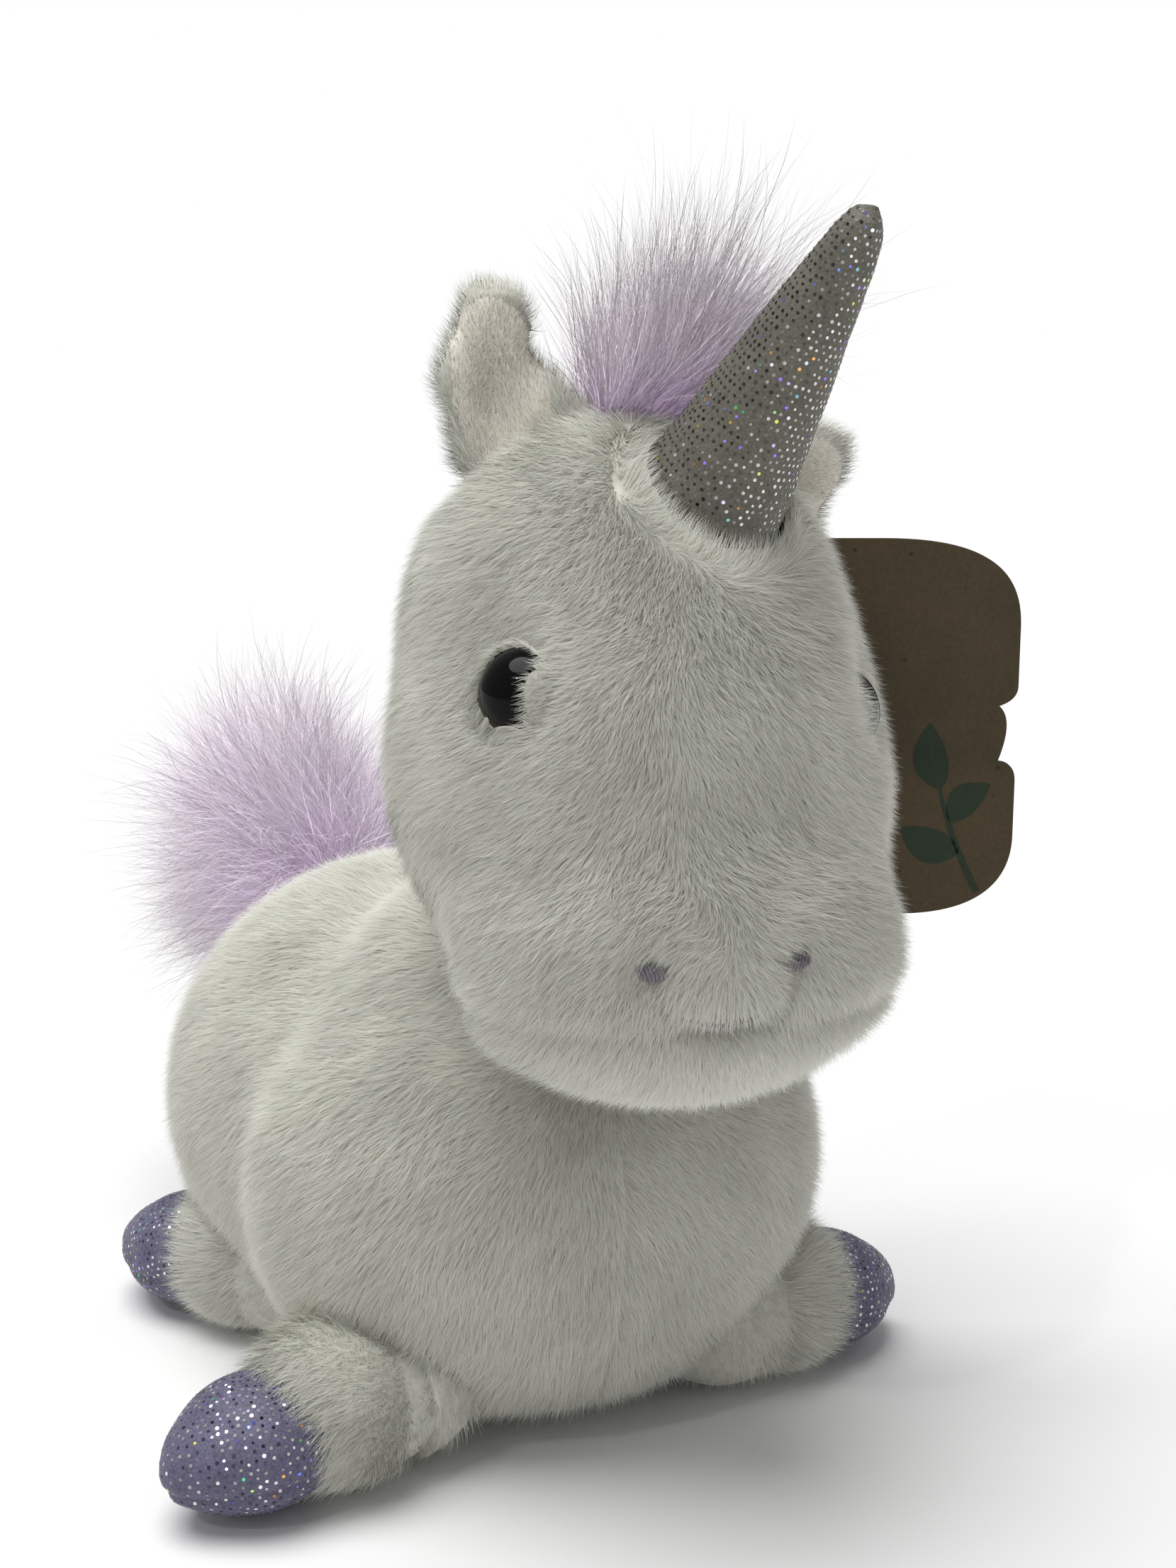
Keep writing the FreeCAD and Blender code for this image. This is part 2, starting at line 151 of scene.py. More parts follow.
def make_camera():
    azimuth, elevation = VIEW_ANGLES
    level = math.cos(elevation)
    back = Vector((math.sin(azimuth) * level, -math.cos(azimuth) * level, math.sin(elevation)))
    data = bpy.data.cameras.new("camera")
    data.sensor_fit = "VERTICAL"
    data.sensor_height = 36.0
    data.lens = 50.0
    data.clip_start = 0.01
    camera = bpy.data.objects.new("camera", data)
    camera.location = Vector(VIEW_TARGET) + back * VIEW_DISTANCE
    camera.rotation_euler = back.to_track_quat("Z", "Y").to_euler()
    bpy.context.collection.objects.link(camera)
    bpy.context.scene.camera = camera


def make_studio():
    mesh = bpy.data.meshes.new("studio_floor")
    mesh.from_pydata([(-9, -9, 0), (9, -9, 0), (9, 9, 0), (-9, 9, 0)], [], [(0, 1, 2, 3)])
    floor = bpy.data.objects.new("studio_floor", mesh)
    bpy.context.collection.objects.link(floor)
    floor.location.z = -0.0004
    mesh.materials.append(plain("studio_floor", (0.80, 0.80, 0.80), 0.9))
    bpy.context.scene.view_settings.view_transform = "Standard"
    world = bpy.data.worlds.new("studio")
    bpy.context.scene.world = world
    world.use_nodes = True
    tree = world.node_tree
    shade = tree.nodes["Background"]
    shade.inputs[0].default_value = (1.0, 1.0, 1.0, 1)
    shade.inputs[1].default_value = AMBIENT
    backdrop = tree.nodes.new("ShaderNodeBackground")
    backdrop.inputs[0].default_value = (1.0, 1.0, 1.0, 1)
    backdrop.inputs[1].default_value = 1.0
    rays = tree.nodes.new("ShaderNodeLightPath")
    either = tree.nodes.new("ShaderNodeMixShader")
    link(tree, rays.outputs["Is Camera Ray"], either.inputs[0])
    link(tree, shade.outputs[0], either.inputs[1])
    link(tree, backdrop.outputs[0], either.inputs[2])
    link(tree, either.outputs[0], tree.nodes["World Output"].inputs[0])
    for name, power, spread, way in (
        ("key", KEY_POWER, 45.0, (-0.20, 0.04, 1.0)),
        ("sparkle", SPARKLE_POWER, 2.0, (-0.62, -0.35, 0.75)),
    ):
        data = bpy.data.lights.new(name, "SUN")
        data.energy = power
        data.angle = math.radians(spread)
        lamp = bpy.data.objects.new(name, data)
        lamp.rotation_euler = Vector(way).to_track_quat("Z", "Y").to_euler()
        bpy.context.collection.objects.link(lamp)


# ---- materials
def new_material(name):
    material = bpy.data.materials.new(name)
    material.use_nodes = True
    return material, material.node_tree


def link(tree, a, b):
    tree.links.new(a, b)


def feed(tree, value, socket):
    """Sets an input to a number or a colour, or links it to an output."""
    if isinstance(value, bpy.types.NodeSocket):
        link(tree, value, socket)
    elif isinstance(value, tuple):
        socket.default_value = (*value, 1)
    else:
        socket.default_value = value


def set_shader(tree, **values):
    """Feeds the shader's inputs; an underscore in a name stands for a space."""
    inputs = tree.nodes["Principled BSDF"].inputs
    for name, value in values.items():
        feed(tree, value, inputs[name.replace("_", " ")])


def texture(tree, kind, **values):
    """A procedural texture in the object's own coordinates."""
    node = tree.nodes.new("ShaderNodeTex" + kind)
    for name, value in values.items():
        node.inputs[name].default_value = value
    where = tree.nodes.new("ShaderNodeTexCoord")
    link(tree, where.outputs["Object"], node.inputs["Vector"])
    return node


def own_map(tree):
    """The two coordinates of a mesh's own map: across and up."""
    uv = tree.nodes.new("ShaderNodeUVMap")
    uv.uv_map = "OFBake"
    split = tree.nodes.new("ShaderNodeSeparateXYZ")
    link(tree, uv.outputs[0], split.inputs[0])
    return split.outputs[0], split.outputs[1]


def bump(tree, height, strength):
    node = tree.nodes.new("ShaderNodeBump")
    node.inputs["Strength"].default_value = strength
    node.inputs["Distance"].default_value = 0.0001
    link(tree, height, node.inputs["Height"])
    set_shader(tree, Normal=node.outputs[0])


def plain(name, colour, rough):
    material, tree = new_material(name)
    set_shader(tree, Base_Color=colour, Roughness=rough)
    return material


def ramp(tree, source, stops):
    node = tree.nodes.new("ShaderNodeValToRGB")
    node.color_ramp.elements[0].position = stops[0][0]
    node.color_ramp.elements[0].color = (*stops[0][1], 1)
    node.color_ramp.elements[1].position = stops[-1][0]
    node.color_ramp.elements[1].color = (*stops[-1][1], 1)
    for at, colour in stops[1:-1]:
        element = node.color_ramp.elements.new(at)
        element.color = (*colour, 1)
    link(tree, source, node.inputs[0])
    return node.outputs[0]


def mix(tree, kind, factor, a, b):
    node = tree.nodes.new("ShaderNodeMix")
    node.data_type = "RGBA"
    node.blend_type = kind
    for value, place in ((factor, 0), (a, 6), (b, 7)):
        feed(tree, value, node.inputs[place])
    return node.outputs[2]


def pile_material(name, along, dull, bright, rough=0.75, painted_glow=0.0):
    """Strand colour from its own map: across is the strand's shade, up is root to tip."""
    material, tree = new_material(name)
    across, up = own_map(tree)
    body = ramp(tree, up, along)
    shade = ramp(tree, across, [(0.0, (dull,) * 3), (1.0, (bright,) * 3)])
    colour = mix(tree, "MULTIPLY", 1.0, body, shade)
    set_shader(tree, Base_Color=colour, Roughness=rough, Specular_IOR_Level=0.25)
    # Emission in the strand's own colour: a painted glow, standing in for light passing through the hair.
    if painted_glow:
        set_shader(tree, Emission_Color=colour, Emission_Strength=painted_glow)
    return material


def fabric_material(name, colour, deep, scale=900.0, rough=0.9):
    """Backing cloth: small soft patches of light and dark."""
    material, tree = new_material(name)
    noise = texture(tree, "Noise", Scale=scale, Detail=3.0)
    tone = ramp(tree, noise.outputs[0], [(0.35, deep), (0.65, colour)])
    set_shader(tree, Base_Color=tone, Roughness=rough, Specular_IOR_Level=0.2)
    return material


def knit_material(name, colour, deep, rough, sheen):
    """Stretch knit: fine loops as bump, with slow changes of tone."""
    material, tree = new_material(name)
    loops = texture(tree, "Voronoi", Scale=2600.0).outputs["Distance"]
    slow = texture(tree, "Noise", Scale=180.0, Detail=4.0)
    fine = ramp(tree, loops, [(0.1, colour), (0.8, deep)])
    tone = ramp(tree, slow.outputs[0], [(0.3, (0.78,) * 3), (0.7, (1.0,) * 3)])
    set_shader(tree, Base_Color=mix(tree, "MULTIPLY", 1.0, fine, tone), Roughness=rough, Sheen_Weight=sheen)
    bump(tree, loops, 0.5)
    return material


def foil_material(name, base):
    """Foil dots, metallic: each dot's colour comes from its map and paints its reflection, from dull dark
    through pale and white to coloured glints.
    """
    material, tree = new_material(name)
    # Dull dots are a dark copy of the base, painted reflection of dark surroundings; the pale, white and
    # coloured stops further up are painted reflections and glints.
    dull = tuple(0.35 * c for c in base)
    stops = [
        (0.0, dull), (0.30, base), (0.55, (0.62, 0.60, 0.58)), (0.80, (0.95, 0.94, 0.92)),
        (0.88, (1.0, 1.0, 1.0)), (0.90, (0.18, 0.25, 1.0)), (0.93, (0.45, 0.20, 0.95)),
        (0.955, (0.10, 0.85, 0.35)), (0.975, (0.95, 0.80, 0.12)), (1.0, (1.0, 0.30, 0.22)),
    ]
    colour = ramp(tree, own_map(tree)[0], stops)
    set_shader(tree, Base_Color=colour, Metallic=0.85, Roughness=0.22)
    return material


def card_material(name, colour, deep, fleck):
    """Kraft card: cloudy tone, fine fibres and a few dark flecks."""
    material, tree = new_material(name)
    cloud = texture(tree, "Noise", Scale=60.0, Detail=6.0)
    fibre = texture(tree, "Noise", Scale=1500.0, Detail=2.0)
    spots = texture(tree, "Voronoi", Scale=210.0)
    tone = ramp(tree, cloud.outputs[0], [(0.35, deep), (0.65, colour)])
    grain = ramp(tree, fibre.outputs[0], [(0.3, (0.80,) * 3), (0.7, (1.0,) * 3)])
    flecks = ramp(tree, spots.outputs["Distance"], [(0.05, fleck), (0.10, (1.0, 1.0, 1.0))])
    grained = mix(tree, "MULTIPLY", 1.0, tone, grain)
    set_shader(tree, Base_Color=mix(tree, "MULTIPLY", 1.0, grained, flecks), Roughness=0.85)
    bump(tree, fibre.outputs[0], 0.35)
    return material


def eye_material():
    """Moulded eye: black, with a thin brown ring near its rim; up its map is from middle to rim."""
    material, tree = new_material("eye_plastic")
    black = (0.003,) * 3
    stops = [(0.0, black), (0.84, black), (0.90, (0.030, 0.012, 0.006)), (1.0, black)]
    colour = ramp(tree, own_map(tree)[1], stops)
    set_shader(tree, Base_Color=colour, Roughness=0.06, Specular_IOR_Level=0.10)
    return material


def clear_material(name):
    """Clear nylon with faint streaks from moulding."""
    material, tree = new_material(name)
    noise = texture(tree, "Noise", Scale=700.0)
    tone = ramp(tree, noise.outputs[0], [(0.3, (0.80, 0.82, 0.84)), (0.7, (0.95, 0.96, 0.97))])
    set_shader(tree, Base_Color=tone, Roughness=0.2, Transmission_Weight=0.6)
    return material


def satin_material(name, colour, deep):
    """Embroidery thread: fine twisted bands across each thread."""
    material, tree = new_material(name)
    bands = texture(tree, "Wave", Scale=900.0, Distortion=3.0)
    tone = ramp(tree, bands.outputs[0], [(0.2, deep), (0.8, colour)])
    set_shader(tree, Base_Color=tone, Roughness=0.55, Sheen_Weight=0.3)
    return material


def assign(node, material):
    """Gives a carried-over CAD node its material."""
    obj = frame["nodes"][node]
    obj.data.materials.clear()
    obj.data.materials.append(material)


# ---- mesh helpers
def turn_flat(angle):
    """The matrix of a turn about the vertical."""
    c, s = math.cos(angle), math.sin(angle)
    return np.array([[c, -s, 0], [s, c, 0], [0, 0, 1]])


def head_to_world(points):
    return np.atleast_2d(np.asarray(points, float)) @ turn_flat(HEAD_YAW).T + HEAD


def head_dirs(vectors):
    return head_to_world(vectors) - HEAD


def to_head(points):
    return (np.atleast_2d(points) - HEAD) @ turn_flat(-HEAD_YAW).T


def to_head_dirs(vectors):
    return to_head(vectors + HEAD)


def ball_data(lumps, place=None):
    """Joined stretched balls: (middle, radii, optional 3x3 turn), millimetres."""
    bm = bmesh.new()
    for lump in lumps:
        centre, size = lump[0], lump[1]
        turn = lump[2] if len(lump) > 2 else np.eye(3)
        part = bmesh.ops.create_icosphere(bm, subdivisions=5, radius=1.0)
        for v in part["verts"]:
            p = turn @ (np.array(v.co) * np.array(size)) + np.array(centre)
            if place is not None:
                p = place(p)[0]
            v.co = Vector(p * MM)
    return mesh_from(bm, "lumps")


def mesh_from(bm, name):
    mesh = bpy.data.meshes.new(name)
    bm.to_mesh(mesh)
    bm.free()
    return mesh


def object_from(name, mesh):
    obj = bpy.data.objects.new(name, mesh)
    bpy.context.collection.objects.link(obj)
    return obj


def apply_modifiers(obj):
    graph = bpy.context.evaluated_depsgraph_get()
    graph.update()
    mesh = bpy.data.meshes.new_from_object(obj.evaluated_get(graph))
    obj.modifiers.clear()
    old = obj.data
    obj.data = mesh
    bpy.data.meshes.remove(old)


def remesh(obj, voxel, rounds):
    modifier = obj.modifiers.new("remesh", "REMESH")
    modifier.mode = "VOXEL"
    modifier.voxel_size = voxel * MM
    relax = obj.modifiers.new("smooth", "SMOOTH")
    relax.factor = 0.5
    relax.iterations = rounds
    apply_modifiers(obj)


def subdivide(obj, levels):
    modifier = obj.modifiers.new("subdivide", "SUBSURF")
    modifier.levels = levels
    modifier.render_levels = levels
    apply_modifiers(obj)


def vectors(items, attribute):
    """One vector of each of a mesh's vertices or faces, as an array."""
    out = np.empty(len(items) * 3)
    items.foreach_get(attribute, out)
    return out.reshape(-1, 3)


def coords(obj):
    return vectors(obj.data.vertices, "co") / MM


def set_coords(obj, points):
    obj.data.vertices.foreach_set("co", (points * MM).ravel())
    obj.data.update()


def vertex_normals(obj):
    return vectors(obj.data.vertices, "normal")


def smooth_shading(obj):
    for polygon in obj.data.polygons:
        polygon.use_smooth = True


def puff(obj, voxel, cap, pinned=None):
    """Swells a stuffed form with Cloth under pressure, as filling does, and applies the result."""
    remesh(obj, voxel, 2)
    before = coords(obj)
    scene = bpy.context.scene
    group = obj.vertex_groups.new(name="held")
    hold = pinned(before) if pinned is not None else np.zeros(len(before), bool)
    group.add([int(i) for i in np.nonzero(hold)[0]], 1.0, "REPLACE")
    modifier = obj.modifiers.new("cloth", "CLOTH")
    settings = modifier.settings
    settings.quality = 4
    settings.mass = 0.1
    settings.use_pressure = True
    settings.uniform_pressure_force = CLOTH_PRESSURE
    settings.effector_weights.gravity = 0.0
    settings.tension_stiffness = 12.0
    settings.compression_stiffness = 12.0
    settings.bending_stiffness = 1.0
    if hold.any():
        settings.vertex_group_mass = "held"
    modifier.point_cache.frame_start = 1
    modifier.point_cache.frame_end = CLOTH_STEPS
    for step in range(1, CLOTH_STEPS + 1):
        scene.frame_set(step)
    apply_modifiers(obj)
    scene.frame_set(1)
    after = coords(obj)
    move = after - before
    size = np.linalg.norm(move, axis=1, keepdims=True)
    move *= np.minimum(1.0, cap / np.maximum(size, 1e-9))
    set_coords(obj, before + move)
    obj.vertex_groups.clear()


# ---- noise on arrays
class Noise:
    """Smooth random vectors on a lattice, the same on every run."""

    def __init__(self, seed, size=32):
        self.size = size
        self.table = np.random.default_rng(seed).uniform(-1, 1, (size, size, size, 3))

    def __call__(self, points, cell):
        q = points / cell + 1000.0
        i = np.floor(q).astype(int)
        f = q - i
        f = f * f * (3 - 2 * f)
        out = np.zeros((len(points), 3))
        for dx in (0, 1):
            for dy in (0, 1):
                for dz in (0, 1):
                    weight = (f[:, 0] if dx else 1 - f[:, 0]) * (f[:, 1] if dy else 1 - f[:, 1])
                    weight = weight * (f[:, 2] if dz else 1 - f[:, 2])
                    j = (i + (dx, dy, dz)) % self.size
                    out += weight[:, None] * self.table[j[:, 0], j[:, 1], j[:, 2]]
        return out


NOISE = Noise(11)


def unit(v):
    """Each row of an array, made one long."""
    return v / np.maximum(np.linalg.norm(v, axis=1, keepdims=True), 1e-9)


def direction(v):
    """One vector, made one long."""
    return v / np.linalg.norm(v)


# ---- pile
def scatter(obj, density, rng):
    """Points spread evenly over a mesh, with the surface's direction there."""
    mesh = obj.data
    mesh.calc_loop_triangles()
    tri = np.empty(len(mesh.loop_triangles) * 3, np.int32)
    mesh.loop_triangles.foreach_get("vertices", tri)
    tri = tri.reshape(-1, 3)
    v, n = coords(obj), vertex_normals(obj)
    a, b, c = v[tri[:, 0]], v[tri[:, 1]], v[tri[:, 2]]
    area = np.linalg.norm(np.cross(b - a, c - a), axis=1) / 2
    total = np.cumsum(area)
    count = int(total[-1] * density)
    pick = np.searchsorted(total, (np.arange(count) + rng.random(count)) / count * total[-1])
    pick = np.minimum(pick, len(tri) - 1)
    r1, r2 = np.sqrt(rng.random(count)), rng.random(count)
    w = np.stack([1 - r1, r1 * (1 - r2), r1 * r2], 1)
    t = tri[pick]
    p = (v[t] * w[:, :, None]).sum(1)
    m = unit((n[t] * w[:, :, None]).sum(1))
    return p, m


def repeated(name, verts, faces, uv, normals, material):
    """One mesh of many small alike shapes: their vertices (count, per, 3), map and shading direction."""
    count, per = verts.shape[:2]
    every = (np.array(faces)[None] + (np.arange(count) * per)[:, None, None]).reshape(-1, 3)
    mesh = bpy.data.meshes.new(name)
    mesh.vertices.add(count * per)
    mesh.vertices.foreach_set("co", (verts * MM).ravel())
    mesh.loops.add(every.size)
    mesh.loops.foreach_set("vertex_index", every.ravel().astype(np.int32))
    mesh.polygons.add(len(every))
    mesh.polygons.foreach_set("loop_start", np.arange(0, every.size, 3, dtype=np.int32))
    mesh.polygons.foreach_set("use_smooth", np.ones(len(every), bool))
    layer = mesh.uv_layers.new(name="OFBake")
    layer.data.foreach_set("uv", uv.reshape(-1, 2)[every.ravel()].ravel())
    mesh.update()
    mesh.validate()
    custom = mesh.attributes.new("custom_normal", "FLOAT_VECTOR", "POINT")
    custom.data.foreach_set("vector", np.repeat(normals, per, axis=0).ravel())
    mesh.materials.append(material)
    return object_from(name, mesh)


def strands(name, lines, widths, shades, normals, material, flat=0.6):
    """Tapered ribbons along the given lines (count, steps, 3), as one mesh with its own colour map."""
    count, steps = lines.shape[:2]
    rng = np.random.default_rng(len(lines))
    along = unit(lines[:, -1] - lines[:, 0])
    side = unit(np.cross(along, normals))
    third = unit(np.cross(side, along))
    twist = rng.uniform(-1.0, 1.0, count) * flat
    side = side * np.cos(twist)[:, None] + third * np.sin(twist)[:, None]
    verts = np.empty((count, 2 * (steps - 1) + 1, 3))
    taper = np.linspace(1.0, 0.35, steps - 1)
    for k in range(steps - 1):
        half = (widths * 0.5 * taper[k])[:, None] * side
        verts[:, 2 * k] = lines[:, k] - half
        verts[:, 2 * k + 1] = lines[:, k] + half
    verts[:, -1] = lines[:, -1]
    faces = []
    for k in range(steps - 2):
        faces.append([2 * k, 2 * k + 1, 2 * k + 3])
        faces.append([2 * k, 2 * k + 3, 2 * k + 2])
    faces.append([2 * steps - 4, 2 * steps - 3, 2 * steps - 2])
    per = verts.shape[1]
    level = np.repeat(np.arange(steps), 2)[:per] / (steps - 1)
    uv = np.empty((count, per, 2))
    uv[:, :, 0] = np.clip(shades, 0.01, 0.99)[:, None]
    uv[:, :, 1] = np.clip(level, 0.01, 0.99)[None]
    shading = unit(normals + rng.normal(0, SHADING_JITTER, normals.shape))
    return repeated(name, verts, faces, uv, shading, material)


def fur(name, skin, density, length, material, comb, keep, seed, ruffle, lean=(0.9, 1.25), scale=None,
        lift=0.0):
    """Short pile on a skin. comb is the way it lies, lean how far over (radians) at root and tip."""
    rng = np.random.default_rng(seed)
    p, n = scatter(skin, density, rng)
    chosen = rng.random(len(p)) < keep(p, n)
    p, n = p[chosen], n[chosen]
    t = comb(p, n)
    t = t + ruffle * NOISE(p, 9.0) + 0.45 * ruffle * NOISE(p + 50, 3.0)
    t = unit(t - n * (t * n).sum(1, keepdims=True))
    size = length * rng.uniform(0.72, 1.15, len(p))
    if scale is not None:
        size = size * scale(p, n)
    loose = rng.normal(0, 0.13, p.shape)
    line = [p - n * PILE_SINK]
    for k, angle in enumerate(lean):
        d = unit(n * math.cos(angle) + t * math.sin(angle) + loose * (1 + 0.6 * k))
        line.append(line[-1] + d * (size / len(lean))[:, None])
    shades = 0.42 + 0.15 * rng.standard_normal(len(p)) + 0.30 * NOISE(p + 9, 6.0)[:, 0]
    # A few strands in a hundred get the full bright shade: painted sparkle highlights in the pile.
    shades = np.clip(np.where(rng.random(len(p)) > 0.985, 1.0, shades), 0, 1)
    facing = unit(n + np.array([0, 0, lift]))
    widths = PILE_WIDTH * rng.uniform(0.7, 1.2, len(p))
    return strands(name, np.stack(line, 1), widths, shades, facing, material)


def finish_piece(obj, body, slot, *nodes, fill=None):
    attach(obj, body)
    if nodes:
        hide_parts(*nodes)


def cover(panel, body, node, white, density, length, comb, seed, **style):
    """Gives a white panel its backing and its layers of pile."""
    panel.data.materials.append(white["skin"])
    finish_piece(panel, body, "white_plush", node, fill=STUFFED)
    for layer in PILE_LAYERS:
        pile = fur(node + "_pile_" + layer, panel, density, length, white["fur"], comb,
                   seed=seed + 100 * ord(layer), **style)
        finish_piece(pile, body, "white_plush")


# ---- forms shared by skins and pile
EYE_OUT = {side: direction(place) for side, place in EYES.items()}
EYE_SEAT = {side: np.linalg.norm(place) - EYE_SINK for side, place in EYES.items()}
HORN_BASE = to_head(PIVOT["horn_bend"])[0]
HORN_TIP = HORN_BASE + HORN_REACH
EAR_ROOTS = {side: to_head(PIVOT["ear_" + side + "_flop"])[0] for side in ("right", "left")}


def along_segment(points, a, b):
    """Share along a line, 0 to 1, distance from it, and the nearest point on it."""
    d = b - a
    t = np.clip(((points - a) @ d) / (d @ d), 0, 1)
    near = a + t[:, None] * d
    return t, np.linalg.norm(points - near, axis=1), near


def push_out(points, a, b, ra, rb):
    """Moves points that lie inside a rounded cone out to its surface."""
    t, distance, near = along_segment(points, a, b)
    radius = ra + (rb - ra) * t
    inside = distance < radius
    out = points.copy()
    way = unit(points[inside] - near[inside])
    out[inside] = near[inside] + way * radius[inside, None]
    return out


def split_faces(obj, chooser, names):
    """Cuts a skin into panels along its faces. chooser gives each face centre's panel number."""
    mesh = obj.data
    which = chooser(vectors(mesh.polygons, "center") / MM)
    panels = []
    for number, name in enumerate(names):
        bm = bmesh.new()
        bm.from_mesh(mesh)
        bm.faces.ensure_lookup_table()
        drop = [bm.faces[int(i)] for i in np.nonzero(which != number)[0]]
        bmesh.ops.delete(bm, geom=drop, context="FACES")
        panel = object_from(name, mesh_from(bm, name))
        smooth_shading(panel)
        panels.append(panel)
    return panels


def remove(obj):
    mesh = obj.data
    bpy.data.objects.remove(obj)
    bpy.data.meshes.remove(mesh)


def build_filling(name, skin, body, node, material, depth=0.9, opening=None):
    """The filling just inside a skin, so that it follows the skin's seams and dents."""
    if opening is None:
        inner = object_from(name, skin.data.copy())
    else:
        inner = split_faces(skin, lambda c: opening(c).astype(int), [name])[0]
    set_coords(inner, coords(inner) - depth * vertex_normals(inner))
    inner.data.materials.clear()
    inner.data.materials.append(material)
    smooth_shading(inner)
    finish_piece(inner, body, "stuffing", node, fill=STUFFED)


# ---- body
def body_skin():
    skin = object_from("body_form", ball_data(BODY_LUMPS))
    remesh(skin, 2.0, 14)
    puff(skin, 4.5, 1.5, lambda p: p[:, 2] < 3)
    subdivide(skin, 2)
    p = coords(skin)
    for root, hoof in LEGS.values():
        p = push_out(p, root, hoof, *LEG_SEAT_R)
    p = push_out(p, HEAD, HEAD + 0.01, HEAD_SEAT_R, HEAD_SEAT_R)
    p = push_out(p, TAIL_ROOT, TAIL_ROOT + 0.01, TAIL_SEAT_R, TAIL_SEAT_R)
    p[:, 2] = np.maximum(p[:, 2], FLOOR_GAP)
    set_coords(skin, p)
    smooth_shading(skin)
    return skin


def body_comb(p, n):
    """The nap runs back and down from the chest."""
    down = np.tile([0.0, 0.35, -0.9], (len(p), 1))
    out = np.stack([np.sign(p[:, 0]) * 0.25, np.full(len(p), 0.25), np.zeros(len(p))], 1)
    return down + out


def body_panel(centres):
    upper = np.where(centres[:, 0] > 0, 1, 2)
    return np.where(centres[:, 2] < BELLY_TOP_Z, 0, upper)


def build_body(white, filling):
    skin = body_skin()
    build_filling("body_filling", skin, "torso", "body_stuffing", filling)
    names = ["belly_plush", "body_side_left_plush", "body_side_right_plush"]
    nodes = ["belly_panel", "body_side_left", "body_side_right"]
    for seed, (panel, node) in enumerate(zip(split_faces(skin, body_panel, names), nodes)):
        density = BODY_PILE["belly" if node == "belly_panel" else "side"]
        cover(panel, "torso", node, white, density, BODY_PILE["length"], body_comb, 21 + seed,
              keep=body_keep, scale=body_scale, ruffle=0.45)
    remove(skin)


def body_keep(p, n):
    keep = np.ones(len(p))
    keep[np.linalg.norm(p - HEAD, axis=1) < 38.4] = 0.3
    keep[p[:, 2] < 0.6] = 0.15
    for root, hoof in LEGS.values():
        keep[along_segment(p, root, hoof)[1] < 12.3] = 0.25
    return keep


def body_scale(p, n):
    """Short where the belly rests on the floor, so that no strand goes through it."""
    return np.clip((p[:, 2] - 0.2) / 7.0, 0.12, 1)


# ---- head
def head_skin():
    skin = object_from("head_form", ball_data(HEAD_LUMPS, head_to_world))
    remesh(skin, 2.0, 12)
    puff(skin, 4.5, 1.2)
    subdivide(skin, 2)
    q = to_head(coords(skin))
    n = to_head_dirs(vertex_normals(skin))
    depth = np.zeros(len(q))
    for side, name in ((-1, "right"), (1, "left")):
        seam = side * seam_half(q)
        upper = (q[:, 2] > -26) & (q[:, 1] < 8)
        depth += SEAM_DENT[0] * np.exp(-((q[:, 0] - seam) / SEAM_DENT[1]) ** 2) * upper
        noseward, away = eye_frame(q, name)[:2]
        lid = 1 - 0.45 * np.clip((noseward - 1) / 4, 0, 1)
        depth += EYE_DENT[0] * np.exp(-(away / EYE_DENT[1]) ** 2) * lid
        from_nostril = np.linalg.norm(q - nostril(side), axis=1)
        depth += NOSTRIL_DENT[0] * np.exp(-(from_nostril / NOSTRIL_DENT[1]) ** 2)
    deep, high, wide = MOUTH_DENT
    mouth = np.exp(-((q[:, 2] - MOUTH_Z - 0.04 * q[:, 0] ** 2) / high) ** 2 - (q[:, 0] / wide) ** 2)
    depth += deep * mouth * (q[:, 1] < -30)
    depth += CHIN_DENT[0] * np.exp(-((q[:, 2] - CHIN_Z) / CHIN_DENT[1]) ** 2) * (q[:, 1] < 0)
    for spot, height, spread in FACE_LUMPS:
        depth -= height * np.exp(-(np.linalg.norm(q - spot, axis=1) / spread) ** 2)
    q = q - n * depth[:, None]
    q = trim_seats(q)
    for name in EYES:
        away, height = eye_frame(q, name)[1:3]
        dome = EYE_DOME[1] * np.sqrt(np.clip(1 - (away / EYE_DOME[0]) ** 2, 0, 1)) + 0.25
        lift = np.where((away < 6.4) & (height > -4), np.maximum(dome - height, 0), 0)
        q += lift[:, None] * EYE_OUT[name]
    set_coords(skin, head_to_world(q))
    smooth_shading(skin)
    return skin


def head_seats(spare):
    """The rounded cones that the horn and the ears' roots take up in the head."""
    gap = HORN_SEAT_GAP + spare
    seats = [(HORN_BASE, HORN_TIP, HORN_R[0] + gap, HORN_R[1] + gap)]
    for side, root in EAR_ROOTS.items():
        lean = math.radians(EAR_LEAN[side])
        half = EAR_ROOT_HALF * np.array([math.cos(lean), 0, -math.sin(lean)])
        seats.append((root - half, root + half, EAR_SEAT_R + spare, EAR_SEAT_R + spare))
    return seats


def trim_seats(q):
    """Moves the rim of each opening out to the opening's edge; what lies farther in is cut away later."""
    out = q.copy()
    for a, b, ra, rb in head_seats(0.0):
        t, distance, near = along_segment(q, a, b)
        radius = ra + (rb - ra) * t
        rim = (distance < radius) & (distance > radius - 1.3)
        out[rim] = near[rim] + unit(q[rim] - near[rim]) * radius[rim, None]
    return out


def eye_frame(q, name):
    """Places about an eye: towards the nose, away from its axis, outward from its flat back, and up."""
    out = EYE_OUT[name]
    nose = direction(np.cross(out, [0, 0, 1.0]))
    nose *= -np.sign(nose[1])
    rise = np.cross(out, nose)
    rise *= np.sign(rise[2])
    off = q - out * EYE_SEAT[name]
    noseward, up = off @ nose, off @ rise
    return noseward, np.hypot(noseward, up), off @ out, up


